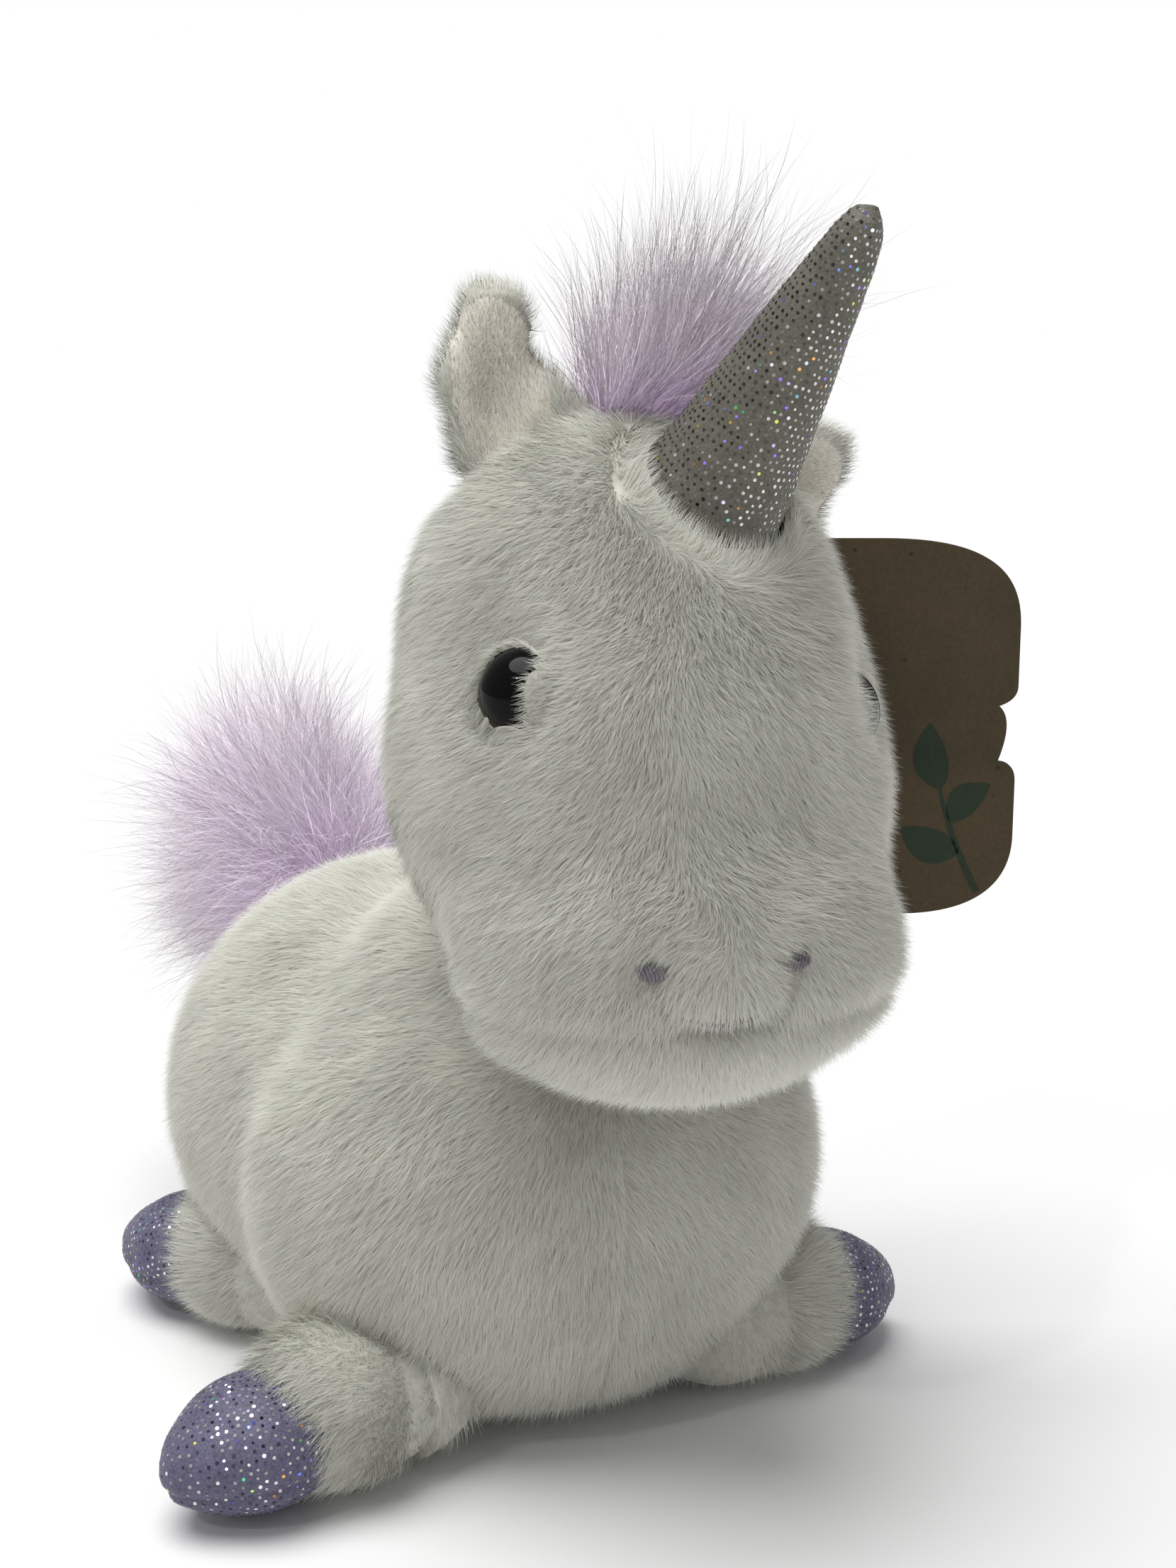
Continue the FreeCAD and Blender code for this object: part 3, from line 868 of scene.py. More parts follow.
def in_seat(q, spare):
    """Inside the openings of the horn and ears, or in the part of an eye that the lid leaves free."""
    inside = np.zeros(len(q), bool)
    for name in EYES:
        noseward, away, height, up = eye_frame(q, name)
        free = noseward < LID_OPENING[1] + 0.03 * up ** 2 + spare
        inside |= (away < LID_OPENING[0] + spare) & free & (height > -4)
    for a, b, ra, rb in head_seats(spare):
        t, distance = along_segment(q, a, b)[:2]
        inside |= distance < ra + (rb - ra) * t - 0.3
    return inside


def seam_half(q):
    """Half width of the forehead strip: wide at the crown, narrow at the nose."""
    return 14.0 - 5.0 * np.clip((8.0 - q[:, 2]) / 30.0, 0, 1)


def nostril(side):
    return on_muzzle(side * NOSTRIL[0], NOSTRIL[1])


def on_muzzle(x, z):
    """The muzzle's front surface at a sideways place and a height."""
    c, r = MUZZLE
    y = c[1] - r[1] * math.sqrt(1 - ((x - c[0]) / r[0]) ** 2 - ((z - c[2]) / r[2]) ** 2)
    return np.array([x, y, z])


def head_comb(p, n):
    """The nap runs down the face, out from the nose and the parting, and up against the horn."""
    q = to_head(p)
    way = np.stack([q[:, 0] * 0.035, np.full(len(q), 0.25), np.full(len(q), -0.8)], 1)
    nose = q - np.array([0, -42.0, -18.0])
    near = np.exp(-(np.linalg.norm(nose, axis=1) / 14.0) ** 2)[:, None]
    way = way * (1 - 0.45 * near) + unit(nose) * near * 0.5
    distance, near = along_segment(q, HORN_BASE, HORN_TIP)[1:]
    toward = unit(near - q + np.array([0, 0, 6.0]))
    way += 2.6 * toward * np.exp(-((distance - HORN_R[0]) / 3.0) ** 2)[:, None]
    for name in EYES:
        noseward, away = eye_frame(q, name)[:2]
        inward = unit(EYE_OUT[name] * (EYE_SEAT[name] + 3) - q)
        lid = 1.8 * np.clip(noseward / 4, 0, 1) * np.exp(-((away - 4.0) / 3.0) ** 2)
        way += inward * lid[:, None]
    return head_dirs(way)


def head_keep(p, n):
    q = to_head(p)
    keep = np.ones(len(q))
    keep[along_segment(q, HORN_BASE, HORN_TIP)[1] < HORN_R[0] + 0.9] = 0.0
    for root in EAR_ROOTS.values():
        keep[np.linalg.norm(q - root, axis=1) < 6.7] = 0.1
    keep[(np.linalg.norm(q, axis=1) < 35.2) & (q[:, 2] < -22) & (q[:, 1] > -14)] *= 0.35
    return keep


def head_scale(p, n):
    q = to_head(p)
    size = np.ones(len(q))
    for name in EYES:
        size *= 1 - 0.55 * np.exp(-(eye_frame(q, name)[1] / 7.0) ** 2)
    for side in (-1, 1):
        size *= 1 - 0.5 * np.exp(-(np.linalg.norm(q - nostril(side), axis=1) / 3.2) ** 2)
    return size


def head_panel(centres):
    q = to_head(centres)
    chin = (q[:, 2] < CHIN_Z) & (q[:, 1] < 0)
    half = seam_half(q)
    side = np.where(q[:, 0] > half, 2, np.where(q[:, 0] < -half, 3, 1))
    return np.where(in_seat(q, 0.0), 4, np.where(chin, 0, side))


def build_head(white, filling):
    skin = head_skin()
    build_filling("head_filling", skin, "head", "head_stuffing", filling, 1.1,
                  lambda c: in_seat(to_head(c), 1.2))
    names = ["chin_plush", "forehead_gusset_plush", "head_side_left_plush", "head_side_right_plush"]
    nodes = ["chin_panel", "forehead_gusset", "head_side_left", "head_side_right"]
    for seed, (panel, node) in enumerate(zip(split_faces(skin, head_panel, names), nodes)):
        cover(panel, "head", node, white, HEAD_PILE["density"], HEAD_PILE["length"], head_comb, 31 + seed,
              keep=head_keep, scale=head_scale, lean=(0.75, 1.15), ruffle=0.42)
    remove(skin)


# ---- small stuffed forms
def stuffed(name, lumps, place, fine, coarse, cap, levels):
    """A small stuffed form: joined lumps, smoothed, swollen by Cloth and subdivided."""
    form = object_from(name, ball_data(lumps, place))
    remesh(form, fine, 6)
    puff(form, coarse, cap)
    subdivide(form, levels)
    return form


# ---- legs and hooves
def leg_axis(name):
    root, hoof = LEGS[name]
    flat = hoof - root
    flat[2] = 0
    return root, hoof, direction(flat)


def build_leg(name, white, filling, seed):
    root, hoof, axis = leg_axis(name)
    body = "leg_" + name
    steps = np.linspace(0.0, 0.46, 5)
    lumps = [(root + (hoof - root) * t, (11.0 + 1.9 * t / 0.46,) * 3) for t in steps]
    skin = stuffed(body + "_form", lumps, None, 1.6, 3.2, 0.7, 2)
    p = coords(skin)
    p[:, 2] = np.maximum(p[:, 2], 0.2)
    set_coords(skin, p)
    build_filling(body + "_filling", skin, body, body + "_stuffing", filling)
    names = [body + "_lower_plush", body + "_upper_plush"]
    panels = split_faces(skin, lambda c: np.where(c[:, 2] < HOOF_SIZE[2], 0, 1), names)

    def comb(p, n):
        return np.tile(axis + np.array([0, 0, -0.35]), (len(p), 1))

    def keep(p, n):
        t = (p - root) @ axis
        cap = (n @ axis > 0.86) & (t > 8.0)
        return np.where(t < 5.0, 0.15, np.where(cap, 0.15, 1.0))

    def scale(p, n):
        t = (p - root) @ axis / np.linalg.norm(hoof - root)
        low = np.clip((p[:, 2] - 0.1) / 6.0, 0.15, 1)
        return low * (1 + 0.25 * np.exp(-((t - LEG_SHARE - 0.15) / 0.2) ** 2))

    for panel, part in zip(panels, ("lower", "upper")):
        panel.data.materials.append(white["skin"])
        finish_piece(panel, body, "white_plush", body + "_" + part, fill=STUFFED)
        pile = fur(body + "_" + part + "_pile", panel, LEG_PILE["density"], LEG_PILE["length"], white["fur"],
                   comb, seed=seed, keep=keep, scale=scale, lean=(0.6, 1.05), ruffle=0.4)
        finish_piece(pile, body, "white_plush")
    remove(skin)


def hoof_form(name):
    """An almond: round at the leg and drawn to a blunt point at the toe."""
    hoof, axis = leg_axis(name)[1:]
    side = np.array([-axis[1], axis[0], 0])
    turn = np.stack([axis, side, [0, 0, 1]], 1)
    centre = np.array([hoof[0], hoof[1], HOOF_SIZE[2]])
    skin = stuffed("hoof_form", [(centre, HOOF_SIZE, turn)], None, 1.2, 2.6, 0.5, 2)
    local = (coords(skin) - centre) @ turn
    toe = np.clip(local[:, 0] / HOOF_SIZE[0], 0, 1.1)
    local[:, 1] *= 1 - 0.28 * toe ** 2
    local[:, 2] *= 1 - 0.16 * toe ** 2
    local[:, 2] -= 1.6 * toe ** 2
    local[:, 0] += 1.6 * toe ** 3
    seam = HOOF_SEAM_Z - HOOF_SIZE[2] - 1.6 * toe
    groove = np.exp(-((local[:, 2] - seam) / 0.7) ** 2)
    local[:, 1:] *= (1 - 0.055 * groove)[:, None]
    local[:, 0] *= 1 - 0.045 * groove
    p = local @ turn.T + centre
    p[:, 2] = np.maximum(p[:, 2], 0.25)
    set_coords(skin, p)
    return skin, centre, turn


def build_hoof(name, knit, foil, filling, seed):
    skin, centre, turn = hoof_form(name)
    root, hoof, axis = leg_axis(name)
    body = "leg_" + name
    build_filling("hoof_" + name + "_filling", skin, body, body + "_stuffing", filling)
    split = (hoof - root)[:2] @ axis[:2] * LEG_SHARE

    def panel_of(c):
        local = (c - centre) @ turn
        toe = np.clip(local[:, 0] / HOOF_SIZE[0], 0, 1.1)
        below = local[:, 2] < HOOF_SEAM_Z - HOOF_SIZE[2] - 1.6 * toe
        hidden = (c - root) @ axis < split - 2.5
        return np.where(hidden, 2, np.where(below, 1, 0))

    names = ["hoof_" + name + "_top_knit", "hoof_" + name + "_sole_knit"]
    for panel, part in zip(split_faces(skin, panel_of, names), ("top", "sole")):
        panel.data.materials.append(knit)
        finish_piece(panel, body, "hoof_knit", "hoof_" + name + "_" + part, fill=STUFFED)
    rows = []
    for k, angle in enumerate(np.arange(0.06, 2.3, 1.15 / 12.0)):
        count = max(1, int(2 * math.pi * math.sin(angle) * 11.5 / HOOF_DOT_PITCH))
        turnings = (np.arange(count) + 0.5 * (k % 2)) / count * 2 * math.pi
        rows.append(np.stack([np.full(count, math.cos(angle)), math.sin(angle) * np.cos(turnings),
                              math.sin(angle) * np.sin(turnings)], 1))
    ways = np.vstack(rows) @ turn.T
    dots = foil_dots("hoof_" + name + "_foil", skin, centre + ways * 30.0, -ways, HOOF_DOT_R, foil, seed,
                     lambda p: (p - root) @ axis > split + 4.0)
    finish_piece(dots, body, "hoof_knit")
    remove(skin)


def foil_dots(name, skin, starts, ways, radius, material, seed, keep, painted_light=None):
    """Small bright discs stuck on a skin, each tipped a little its own way."""
    rng = np.random.default_rng(seed)
    tree = BVHTree.FromObject(skin, bpy.context.evaluated_depsgraph_get())
    spots, normals = [], []
    for start, way in zip(starts, ways):
        hit, normal = tree.ray_cast(Vector(start * MM), Vector(way))[:2]
        if hit is not None:
            spots.append(np.array(hit) / MM)
            normals.append(np.array(normal))
    p, n = np.array(spots), unit(np.array(normals))
    chosen = keep(p) & (p[:, 2] > 1.0)
    p, n = p[chosen], n[chosen]
    a = unit(np.cross(n, np.tile([0.3, 0.5, 0.81], (len(n), 1))))
    b = np.cross(n, a)
    p = p + n * 0.07 + (a * rng.normal(0, 0.10, (len(p), 1)) + b * rng.normal(0, 0.10, (len(p), 1)))
    angle = (np.arange(DOT_CORNERS) / DOT_CORNERS * 2 * math.pi)[None, :, None]
    size = radius * rng.uniform(0.75, 1.1, len(p))
    ring = (np.cos(angle) * a[:, None] + np.sin(angle) * b[:, None]) * size[:, None, None]
    verts = np.concatenate([(p + n * 0.03)[:, None], p[:, None] + ring - 0.03 * n[:, None]], 1)
    fan = [[0, 1 + k, 1 + (k + 1) % DOT_CORNERS] for k in range(DOT_CORNERS)]
    # Each dot's place on the foil ramp is random, from dull to pale, painted reflection; one dot in ten gets
    # a painted white or coloured glint.
    u = rng.uniform(0.0, 0.80, len(p))
    # When a side term is given, it lifts dots facing one side up the ramp: painted light on that side of the
    # piece.
    if painted_light is not None:
        u = np.clip(u * 0.5 + painted_light(n), 0.01, 0.84)
    painted_glint = rng.random(len(p))
    u = np.where(painted_glint > 0.90, rng.uniform(0.86, 1.0, len(p)), u)
    uv = np.empty((len(p), DOT_CORNERS + 1, 2))
    uv[:, :, 0] = np.clip(u, 0.01, 0.99)[:, None]
    uv[:, :, 1] = 0.5
    tipped = unit(n + rng.normal(0, 0.22, n.shape))
    return repeated(name, verts, fan, uv, tipped, material)


# ---- horn
def build_horn(knit, foil, filling):
    steps = np.linspace(0, 1, 12)
    lumps = [(HORN_BASE + HORN_REACH * t, (HORN_R[0] + (HORN_R[1] - HORN_R[0]) * t,) * 3) for t in steps]
    skin = stuffed("horn_knit_cover", lumps, head_to_world, 1.0, 2.4, 0.4, 2)
    q = to_head(coords(skin))
    axis = direction(HORN_REACH)
    side = direction(np.cross(axis, [0, -1.0, 0]))
    front = np.cross(axis, side)
    t, distance, near = along_segment(q, HORN_BASE, HORN_TIP)
    around = q - near
    angle = np.arctan2(around @ front, around @ side)
    seam = np.exp(-((angle - 0.35) * distance / 0.6) ** 2)
    pucker = 1 + 0.5 * np.sin(t * 95.0)
    wrinkle = np.sin(t * 38 + 2.2 * np.sin(angle * 2)) * np.exp(-(t / 0.25) ** 2)
    shrink = 1 - (0.42 * seam * pucker + 0.18 * wrinkle) / np.maximum(distance, 2.0)
    set_coords(skin, head_to_world(near + around * shrink[:, None]))
    smooth_shading(skin)
    skin.data.materials.append(knit)
    build_filling("horn_filling", skin, "horn", "horn_stuffing", filling, 0.8)
    starts, ways = [], []
    length = np.linalg.norm(HORN_REACH)
    for k, along in enumerate(np.arange(3.0, length + 3.0, 1.0)):
        share = min(along / length, 1.0)
        radius = HORN_R[0] + (HORN_R[1] - HORN_R[0]) * share
        count = int(2 * math.pi * radius / HORN_DOT_PITCH)
        for turning in (np.arange(count) + 0.5 * (k % 2)) / count * 2 * math.pi:
            way = side * math.cos(turning) + front * math.sin(turning)
            starts.append(HORN_BASE + axis * along + way * 20.0)
            ways.append(-way)

    # Dots facing one side of the horn sit higher on the foil ramp: painted light on that side, painted shade
    # on the other.
    def painted_side_light(n):
        return 0.20 + 0.24 * (to_head_dirs(n) @ side)

    dots = foil_dots("horn_foil", skin, head_to_world(starts), head_dirs(ways), HORN_DOT_R, foil, 61,
                     lambda p: np.ones(len(p), bool), painted_side_light)
    finish_piece(skin, "horn", "horn_knit", "horn_cover", fill=0.95)
    finish_piece(dots, "horn", "horn_knit")


# ---- ears
def build_ear(side, white, lining, seed):
    root, lean = EAR_ROOTS[side], math.radians(EAR_LEAN[side])
    turn = np.array([[math.cos(lean), 0, math.sin(lean)], [0, 1, 0], [-math.sin(lean), 0, math.cos(lean)]])
    rise, half = EAR_RISE[side], EAR_HALF[side]
    out = -1.0 if side == "right" else 1.0
    size = half / 15.5

    def place(p):
        return head_to_world(np.atleast_2d(p) @ turn.T + root)

    lumps = [
        ((-0.8 * out, 0, rise - 5 * size), (10.2, 4.0, 9.0 * size)),
        ((2.6 * out, 0, rise + 1.5 * size), (7.4, 3.6, 7.0 * size)),
        ((-0.2 * out, 0, rise + 8.5 * size), (6.2, 3.3, 6.8 * size)),
        ((-1.5 * out, 0, 1.0), (10.5, 5.0, 5.6)),
        ((-6.0 * out, 0, 3.0 * size), (8.5, 4.2, 6.0 * size)),
    ]
    skin = stuffed("ear_form", lumps, place, 1.0, 2.2, 0.4, 2)

    def local(p):
        return (to_head(p) - root) @ turn

    e = local(coords(skin))
    middle = np.exp(-((e[:, 0] - 1.0 * out) / 5.2) ** 2 - ((e[:, 2] - rise) / (9.0 * size)) ** 2)
    e[:, 1] += np.where(e[:, 1] < 0.6, 3.0 * middle, 0.0)
    e[:, 1] -= 0.10 * (e[:, 0] / 4.0) ** 2 * np.clip(e[:, 2] / 10.0, 0, 1)
    set_coords(skin, place(e))

    def panel_of(c):
        q = local(c)
        inner = ((q[:, 0] - 0.8 * out) / 6.6) ** 2 + ((q[:, 2] - rise) / (12.5 * size)) ** 2 < 1
        return np.where(inner & (q[:, 1] < 0.4), 1, 0)

    def comb(p, n):
        up = head_dirs(np.array([[0.25 * out, 0, 1.0]]) @ turn.T)
        return np.tile(up, (len(p), 1))

    def keep(p, n):
        return np.where(local(p)[:, 2] < 1.0, 0.3, 1.0)

    names = ["ear_" + side + "_back_plush", "ear_" + side + "_lining_plush"]
    body = "ear_" + side
    for panel, part in zip(split_faces(skin, panel_of, names), ("back", "lining")):
        cloth, lift = (white, 0.2) if part == "back" else (lining, 1.6)
        panel.data.materials.append(cloth["skin"])
        finish_piece(panel, body, "short_plush", body + "_" + part, fill=0.7)
        pile = fur(body + "_" + part + "_pile", panel, EAR_PILE["density"], EAR_PILE[part], cloth["fur"],
                   comb, seed=seed, keep=keep, lean=(0.5, 1.0), ruffle=0.5, lift=lift)
        finish_piece(pile, body, "short_plush")
    remove(skin)


# ---- long pile
def long_strands(name, roots, ways, lengths, steps, rng, material, width, curl, droop, shades, clear=None):
    """Long hairs that start along the given directions, wander and droop a little."""
    here = roots.copy()
    way = unit(ways)
    line = [here]
    swirl = rng.normal(0, 1.0, roots.shape)
    for _ in range(1, steps):
        bend = curl * (NOISE(here, 9.0) + 0.45 * swirl) + np.array([0, 0, -droop])
        way = unit(way + bend / (steps - 1))
        here = here + way * (lengths / (steps - 1))[:, None]
        if clear is not None:
            here = clear(here)
        line.append(here)
    normals = unit(unit(ways) + np.array([0, 0, 1.6]) + rng.normal(0, 0.25, ways.shape))
    widths = width * rng.uniform(0.7, 1.2, len(roots))
    return strands(name, np.stack(line, 1), widths, shades, normals, material, flat=1.2)


def on_crown(x, y):
    c, r = CROWN
    return c[2] + r[2] * np.sqrt(np.clip(1 - ((x - c[0]) / r[0]) ** 2 - ((y - c[1]) / r[1]) ** 2, 0, 1))


def build_mane(materials):
    for layer, material in zip(MANE_LAYERS, materials):
        name, count, low, high, steps, width, curl, lean, seed = layer
        rng = np.random.default_rng(seed)
        x = -5.2 + 10.4 * rng.beta(1.6, 1.0, count)
        y = rng.uniform(2.0, 26.0, count)
        q = np.stack([x, y, on_crown(x, y) - 1.0], 1)
        way = np.stack([lean + 0.07 * x, -0.20 + 0.02 * (y - 10), np.ones(count)], 1)
        way += rng.normal(0, 0.17, way.shape)
        lengths = low + (high - low) * rng.beta(1.4, 2.1, count)
        lengths *= 0.85 + 0.04 * x
        shades = np.clip(rng.normal(0.6, 0.25, count), 0, 1)
        roots, ways = head_to_world(q), head_dirs(way)
        piece = long_strands(name, roots, ways, lengths, steps, rng, material, width, curl,
                             MANE_DROOP, shades)
        finish_piece(piece, "head", "lilac_pile", *(("mane_pile",) if name == "mane_underfur" else ()))


def clear_of_body(points):
    out = points.copy()
    for centre, size in BODY_LUMPS:
        size = np.array(size) + 0.8
        q = (out - centre) / size
        r = np.linalg.norm(q, axis=1)
        inside = r < 1.0
        out[inside] = centre + q[inside] / np.maximum(r[inside], 0.05)[:, None] * size
    return out


def build_tail(materials):
    axis = TAIL_END - TAIL_ROOT
    for layer, material in zip(TAIL_LAYERS, materials):
        name, count, low, high, steps, width, curl, seed = layer
        rng = np.random.default_rng(seed)
        t = rng.uniform(0.05, 1.0, count)
        out = unit(rng.normal(0, 1, (count, 3)))
        out[:, 1] += 0.35
        out[:, 2] += 0.15
        out = unit(out)
        radius = 7.3 - 2.5 * t
        roots = TAIL_ROOT + axis * t[:, None] + out * radius[:, None]
        lengths = low + (high - low) * rng.beta(2.0, 2.0, count)
        lengths *= 1 - 0.30 * np.clip(-out[:, 1], 0, 1) - 0.18 * np.clip(out[:, 1], 0, 1)
        way = out + 0.25 * direction(axis) + rng.normal(0, 0.16, out.shape)
        shades = np.clip(rng.normal(0.55, 0.25, count), 0, 1)
        piece = long_strands(name, roots, way, lengths, steps, rng, material, width, curl,
                             TAIL_DROOP, shades, clear_of_body)
        finish_piece(piece, "tail", "lilac_pile", *(("tail_pile",) if name == "tail_underfur" else ()))


# ---- eyes and stitches
def build_eye(side, material):
    """A turned dome with its moulded stem."""
    out, seat = EYE_OUT[side], EYE_SEAT[side]
    across = direction(np.cross([0, 0, 1.0], out))
    up = np.cross(out, across)
    quarter = np.linspace(0.0, math.pi / 2, 22)
    profile = [(EYE_DOME[0] * math.sin(a), EYE_DOME[1] * math.cos(a)) for a in quarter]
    profile += [(5.75, -0.12), (1.8, -0.12), (1.75, -6.0), (1.5, -8.9), (0.0, -8.95)]
    sides = 64
    bm = bmesh.new()
    layer = bm.loops.layers.uv.new("OFBake")
    rings = []
    for radius, height in profile:
        ring = []
        for k in range(sides if radius > 0 else 1):
            a = k / sides * 2 * math.pi
            q = out * (seat + height) + across * radius * math.cos(a) + up * radius * math.sin(a)
            ring.append(bm.verts.new(Vector(head_to_world(q)[0] * MM)))
        rings.append(ring)
    for number, (one, two) in enumerate(zip(rings, rings[1:])):
        level = [min(0.99, profile[number][0] / 6.0), min(0.99, profile[number + 1][0] / 6.0)]
        for k in range(sides):
            j = (k + 1) % sides
            corners = [(one[k % len(one)], level[0]), (two[k % len(two)], level[1]),
                       (two[j % len(two)], level[1]), (one[j % len(one)], level[0])]
            used = []
            for vert, v in corners:
                if vert not in [u[0] for u in used]:
                    used.append((vert, v))
            face = bm.faces.new([u[0] for u in used])
            face.smooth = True
            for loop, (vert, v) in zip(face.loops, used):
                loop[layer].uv = (0.01 + 0.98 * k / sides, max(v, 0.01))
    bmesh.ops.recalc_face_normals(bm, faces=bm.faces)
    mesh = mesh_from(bm, "eye_" + side + "_moulding")
    mesh.materials.append(material)
    finish_piece(object_from(mesh.name, mesh), "head", "eye", "eye_" + side)


def thread_mesh(name, lines, radius, material):
    """Round threads along the given lines, six-sided, with closed ends."""
    verts, faces = [], []
    for line in lines:
        along = unit(np.gradient(line, axis=0))
        a = unit(np.cross(along, np.tile([0.1, 0.2, 0.97], (len(line), 1))))
        b = np.cross(along, a)
        first = len(verts)
        for k in range(len(line)):
            taper = radius * (0.45 if k in (0, len(line) - 1) else 1.0)
            for side in range(6):
                angle = side / 6 * 2 * math.pi
                verts.append((line[k] + taper * (a[k] * math.cos(angle) + b[k] * math.sin(angle))) * MM)
        for k in range(len(line) - 1):
            for side in range(6):
                at, beside = first + 6 * k + side, first + 6 * k + (side + 1) % 6
                faces.append((at, beside, beside + 6, at + 6))
        faces.append(tuple(first + side for side in range(5, -1, -1)))
        faces.append(tuple(first + 6 * (len(line) - 1) + side for side in range(6)))
    mesh = bpy.data.meshes.new(name)
    mesh.from_pydata([tuple(v) for v in verts], [], faces)
    mesh.materials.append(material)
    obj = object_from(name, mesh)
    smooth_shading(obj)
    return obj


def build_stitches(thread):
    for side, name in ((-1, "right"), (1, "left")):
        lines = []
        for k in range(7):
            shift = (k - 3) * 0.5
            line = []
            for t in np.linspace(-1, 1, 5):
                x = side * NOSTRIL[0] + shift + 0.5 * side * t
                z = NOSTRIL[1] + 1.5 * t * math.cos(shift * 0.55)
                line.append(on_muzzle(x, z) + np.array([0, 2.3 - 1.1 * (1 - t * t), 0]))
            lines.append(head_to_world(line))
        piece = thread_mesh("nostril_" + name + "_thread", lines, 0.24, thread)
        finish_piece(piece, "head", "thread", "nostril_" + name)
    line = []
    for x in np.linspace(-6.0, 6.0, 13):
        line.append(on_muzzle(x, MOUTH_Z + 0.04 * x * x) + np.array([0, 1.6 + 0.02 * x * x, 0]))
    piece = thread_mesh("mouth_thread", [head_to_world(line)], 0.3, thread)
    finish_piece(piece, "head", "thread", "mouth_stitch")


# ---- print on the tag
def tag_to_world(points):
    return np.atleast_2d(np.asarray(points, float)) @ turn_flat(TAG_YAW).T + TAG_HOLE


def build_print(green):
    """A plain three-leaved twig near the tag's foot, as a thin layer of ink."""
    bm = bmesh.new()

    def ink(x, z):
        face_y = -(TAG_GAP + CARD_THICK + INK_PROUD)
        return bm.verts.new(Vector(tag_to_world((x, face_y, z))[0] * MM))

    stem = [(29.5 - 9.0 * t + 2.5 * t * t, -53.5 + 17.0 * t) for t in np.linspace(0, 1, 14)]
    pairs = []
    for k, (x, z) in enumerate(stem):
        half = 0.55 - 0.3 * k / len(stem)
        pairs.append([ink(x + d * half, z + d * 0.25) for d in (-1, 1)])
    for one, two in zip(pairs, pairs[1:]):
        bm.faces.new((one[0], one[1], two[1], two[0]))
    leaves = [(stem[5], 2.75, 10.5, 2.9), (stem[9], 0.75, 9.0, 2.5), (stem[-1], 1.75, 11.0, 2.8)]
    for (x, z), angle, length, width in leaves:
        way = np.array([math.cos(angle), math.sin(angle)])
        side = np.array([-way[1], way[0]])
        rows = []
        for t in np.linspace(0.0, 1.0, 20):
            half = width * math.sin(math.pi * t ** 0.85) ** 0.8
            middle = np.array([x, z]) + way * length * t + side * 0.8 * math.sin(math.pi * t)
            row = []
            for d in (-1, 0, 1):
                u, v = middle + side * d * half
                row.append(ink(u, v))
            rows.append(row)
        for one, two in zip(rows, rows[1:]):
            bm.faces.new((one[0], one[1], two[1], two[0]))
            bm.faces.new((one[1], one[2], two[2], two[1]))
    bmesh.ops.remove_doubles(bm, verts=bm.verts, dist=1e-6)
    mesh = mesh_from(bm, "tag_twig_print")
    mesh.materials.append(green)
    finish_piece(object_from(mesh.name, mesh), "tag_front_leaf", "kraft_card")


# ---- everything
make_camera()
make_studio()
# White plush: each strand's ramp runs from dark at the root to light at the tip, painted shade deep in the
# pile; the backing cloth takes the roots' dark tone, painted shade under the pile.
white = {
    "skin": fabric_material("plush_backing", (0.66, 0.66, 0.59), (0.56, 0.56, 0.50)),
    "fur": pile_material("white_pile", [(0.0, (0.66, 0.66, 0.58)), (0.45, (0.80, 0.80, 0.71)),
                                        (1.0, (0.93, 0.93, 0.85))], 0.74, 1.0),
}
# Ear lining: coloured lighter than the body's white, painted light on the ear's front; its strands still run
# a little darker at the root, painted shade in the pile.
lining = {
    "skin": fabric_material("ear_lining_backing", (0.90, 0.87, 0.79), (0.82, 0.78, 0.70)),
    "fur": pile_material("ear_lining_pile", [(0.0, (0.88, 0.85, 0.77)), (1.0, (0.97, 0.94, 0.86))],
                         0.92, 1.0),
}
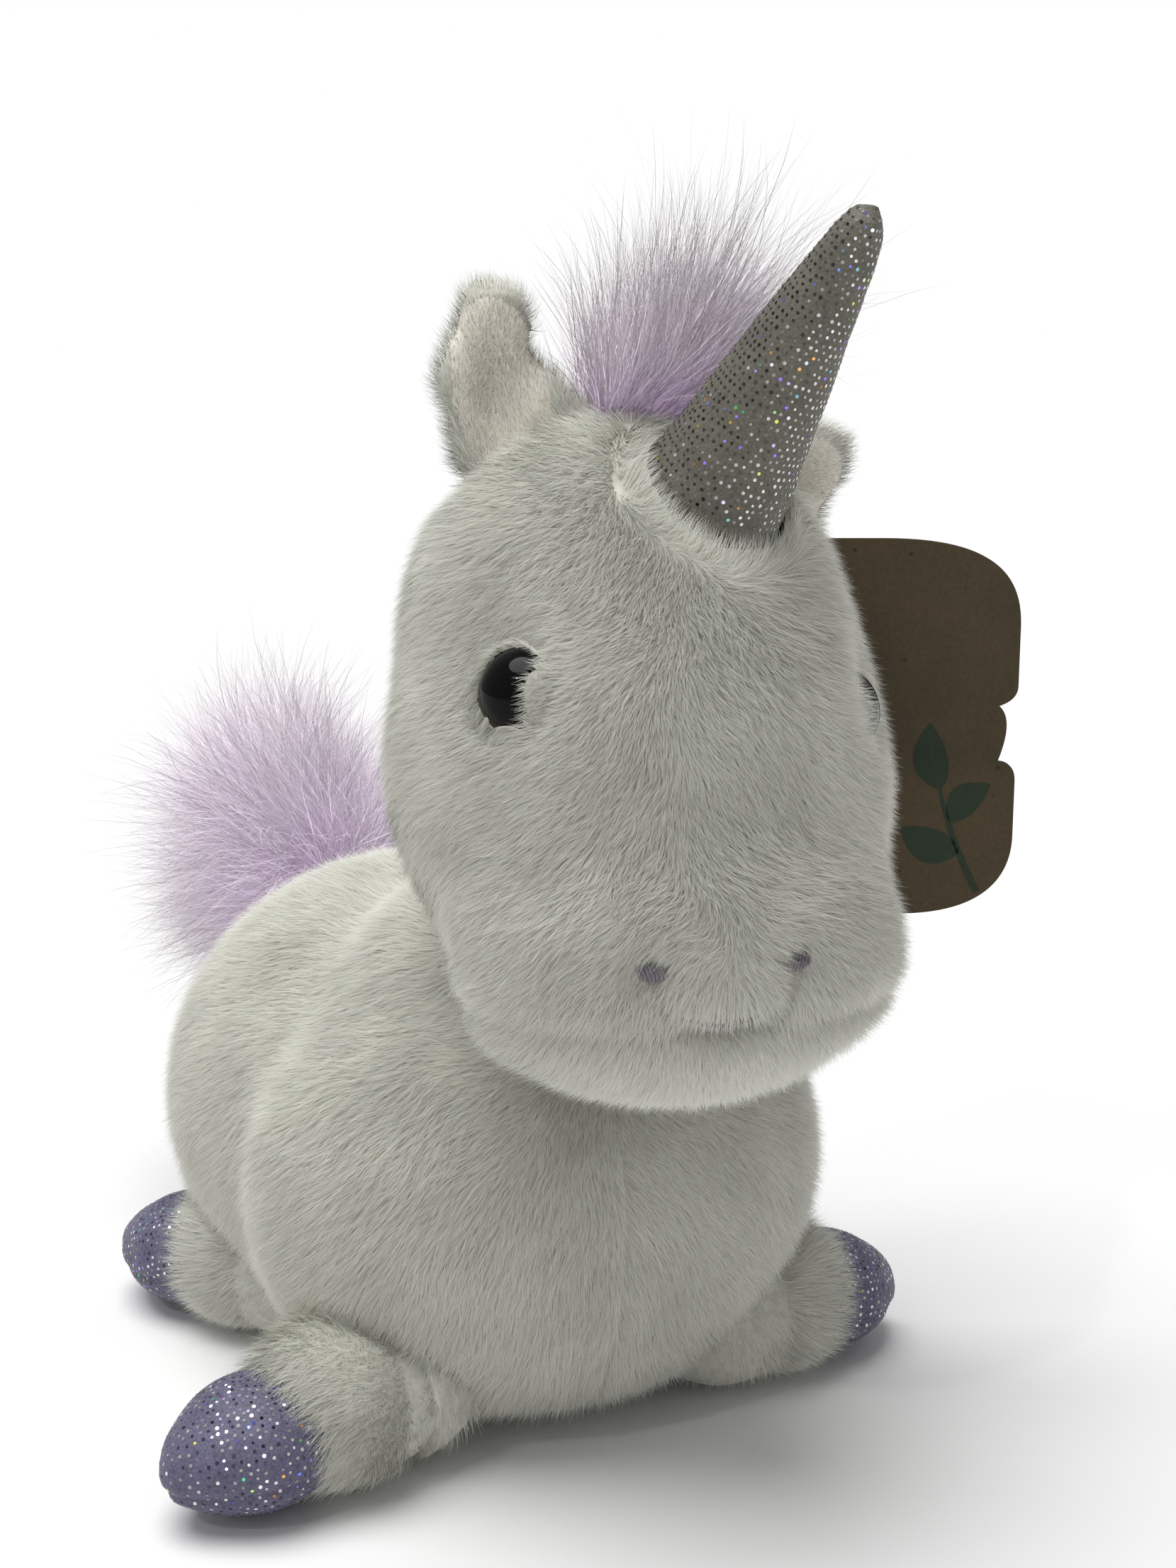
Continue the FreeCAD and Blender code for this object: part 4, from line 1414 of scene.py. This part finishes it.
# Lilac pile: besides its dye colour, its colour feeds a weak emission, a painted glow in the mane and tail.
lilac_under = pile_material("lilac_underfur", [(0.0, (0.95, 0.76, 1.0)), (0.45, (0.97, 0.84, 1.0)),
                                               (1.0, (0.92, 0.88, 0.92))], 0.92, 1.0, 0.75, 0.14)
lilac_guard = pile_material("lilac_guard_hair", [(0.0, (0.92, 0.76, 0.97)), (0.35, (0.80, 0.73, 0.81)),
                                                 (1.0, (0.66, 0.63, 0.62))], 0.78, 1.0, 0.75, 0.05)
filling = fabric_material("polyester_filling", (0.80, 0.80, 0.78), (0.66, 0.66, 0.64), 300.0)
build_body(white, filling)
build_head(white, filling)
horn_knit = knit_material("horn_silver_knit", (0.165, 0.157, 0.12), (0.10, 0.094, 0.072), 0.6, 0.05)
hoof_knit = knit_material("hoof_lavender_knit", (0.15, 0.14, 0.235), (0.085, 0.08, 0.14), 0.6, 0.05)
horn_foil = foil_material("horn_foil_dots", (0.09, 0.085, 0.075))
hoof_foil = foil_material("hoof_foil_dots", (0.12, 0.11, 0.17))
build_horn(horn_knit, horn_foil, filling)
for seed, leg in enumerate(LEGS):
    build_leg(leg, white, filling, 41 + seed)
    build_hoof(leg, hoof_knit, hoof_foil, filling, 51 + seed)
for seed, side in enumerate(("right", "left")):
    build_ear(side, white, lining, 65 + seed)
build_mane((lilac_under, lilac_guard))
build_tail((lilac_under, lilac_guard))
eye_plastic = eye_material()
build_eye("right", eye_plastic)
build_eye("left", eye_plastic)
build_stitches(satin_material("grey_violet_thread", (0.20, 0.18, 0.21), (0.12, 0.11, 0.13)))
build_print(card_material("green_ink", (0.022, 0.040, 0.020), (0.014, 0.028, 0.014), (0.6, 0.6, 0.6)))

card = card_material("kraft_card_face", (0.085, 0.060, 0.028), (0.060, 0.043, 0.020), (0.35, 0.30, 0.25))
backing = fabric_material("lilac_pile_backing", (0.40, 0.28, 0.46), (0.28, 0.19, 0.33))
washer = fabric_material("white_washer_plastic", (0.75, 0.75, 0.74), (0.70, 0.70, 0.69), 250.0, 0.45)
assign("neck_band", white["skin"])
for node in ("tag_front", "tag_back"):
    assign(node, card)
for node in ("mane_backing", "tail_core"):
    assign(node, backing)
for side in ("left", "right"):
    assign("eye_washer_" + side, washer)
assign("tag_fastener", clear_material("clear_nylon"))
assign("neck_stuffing", filling)
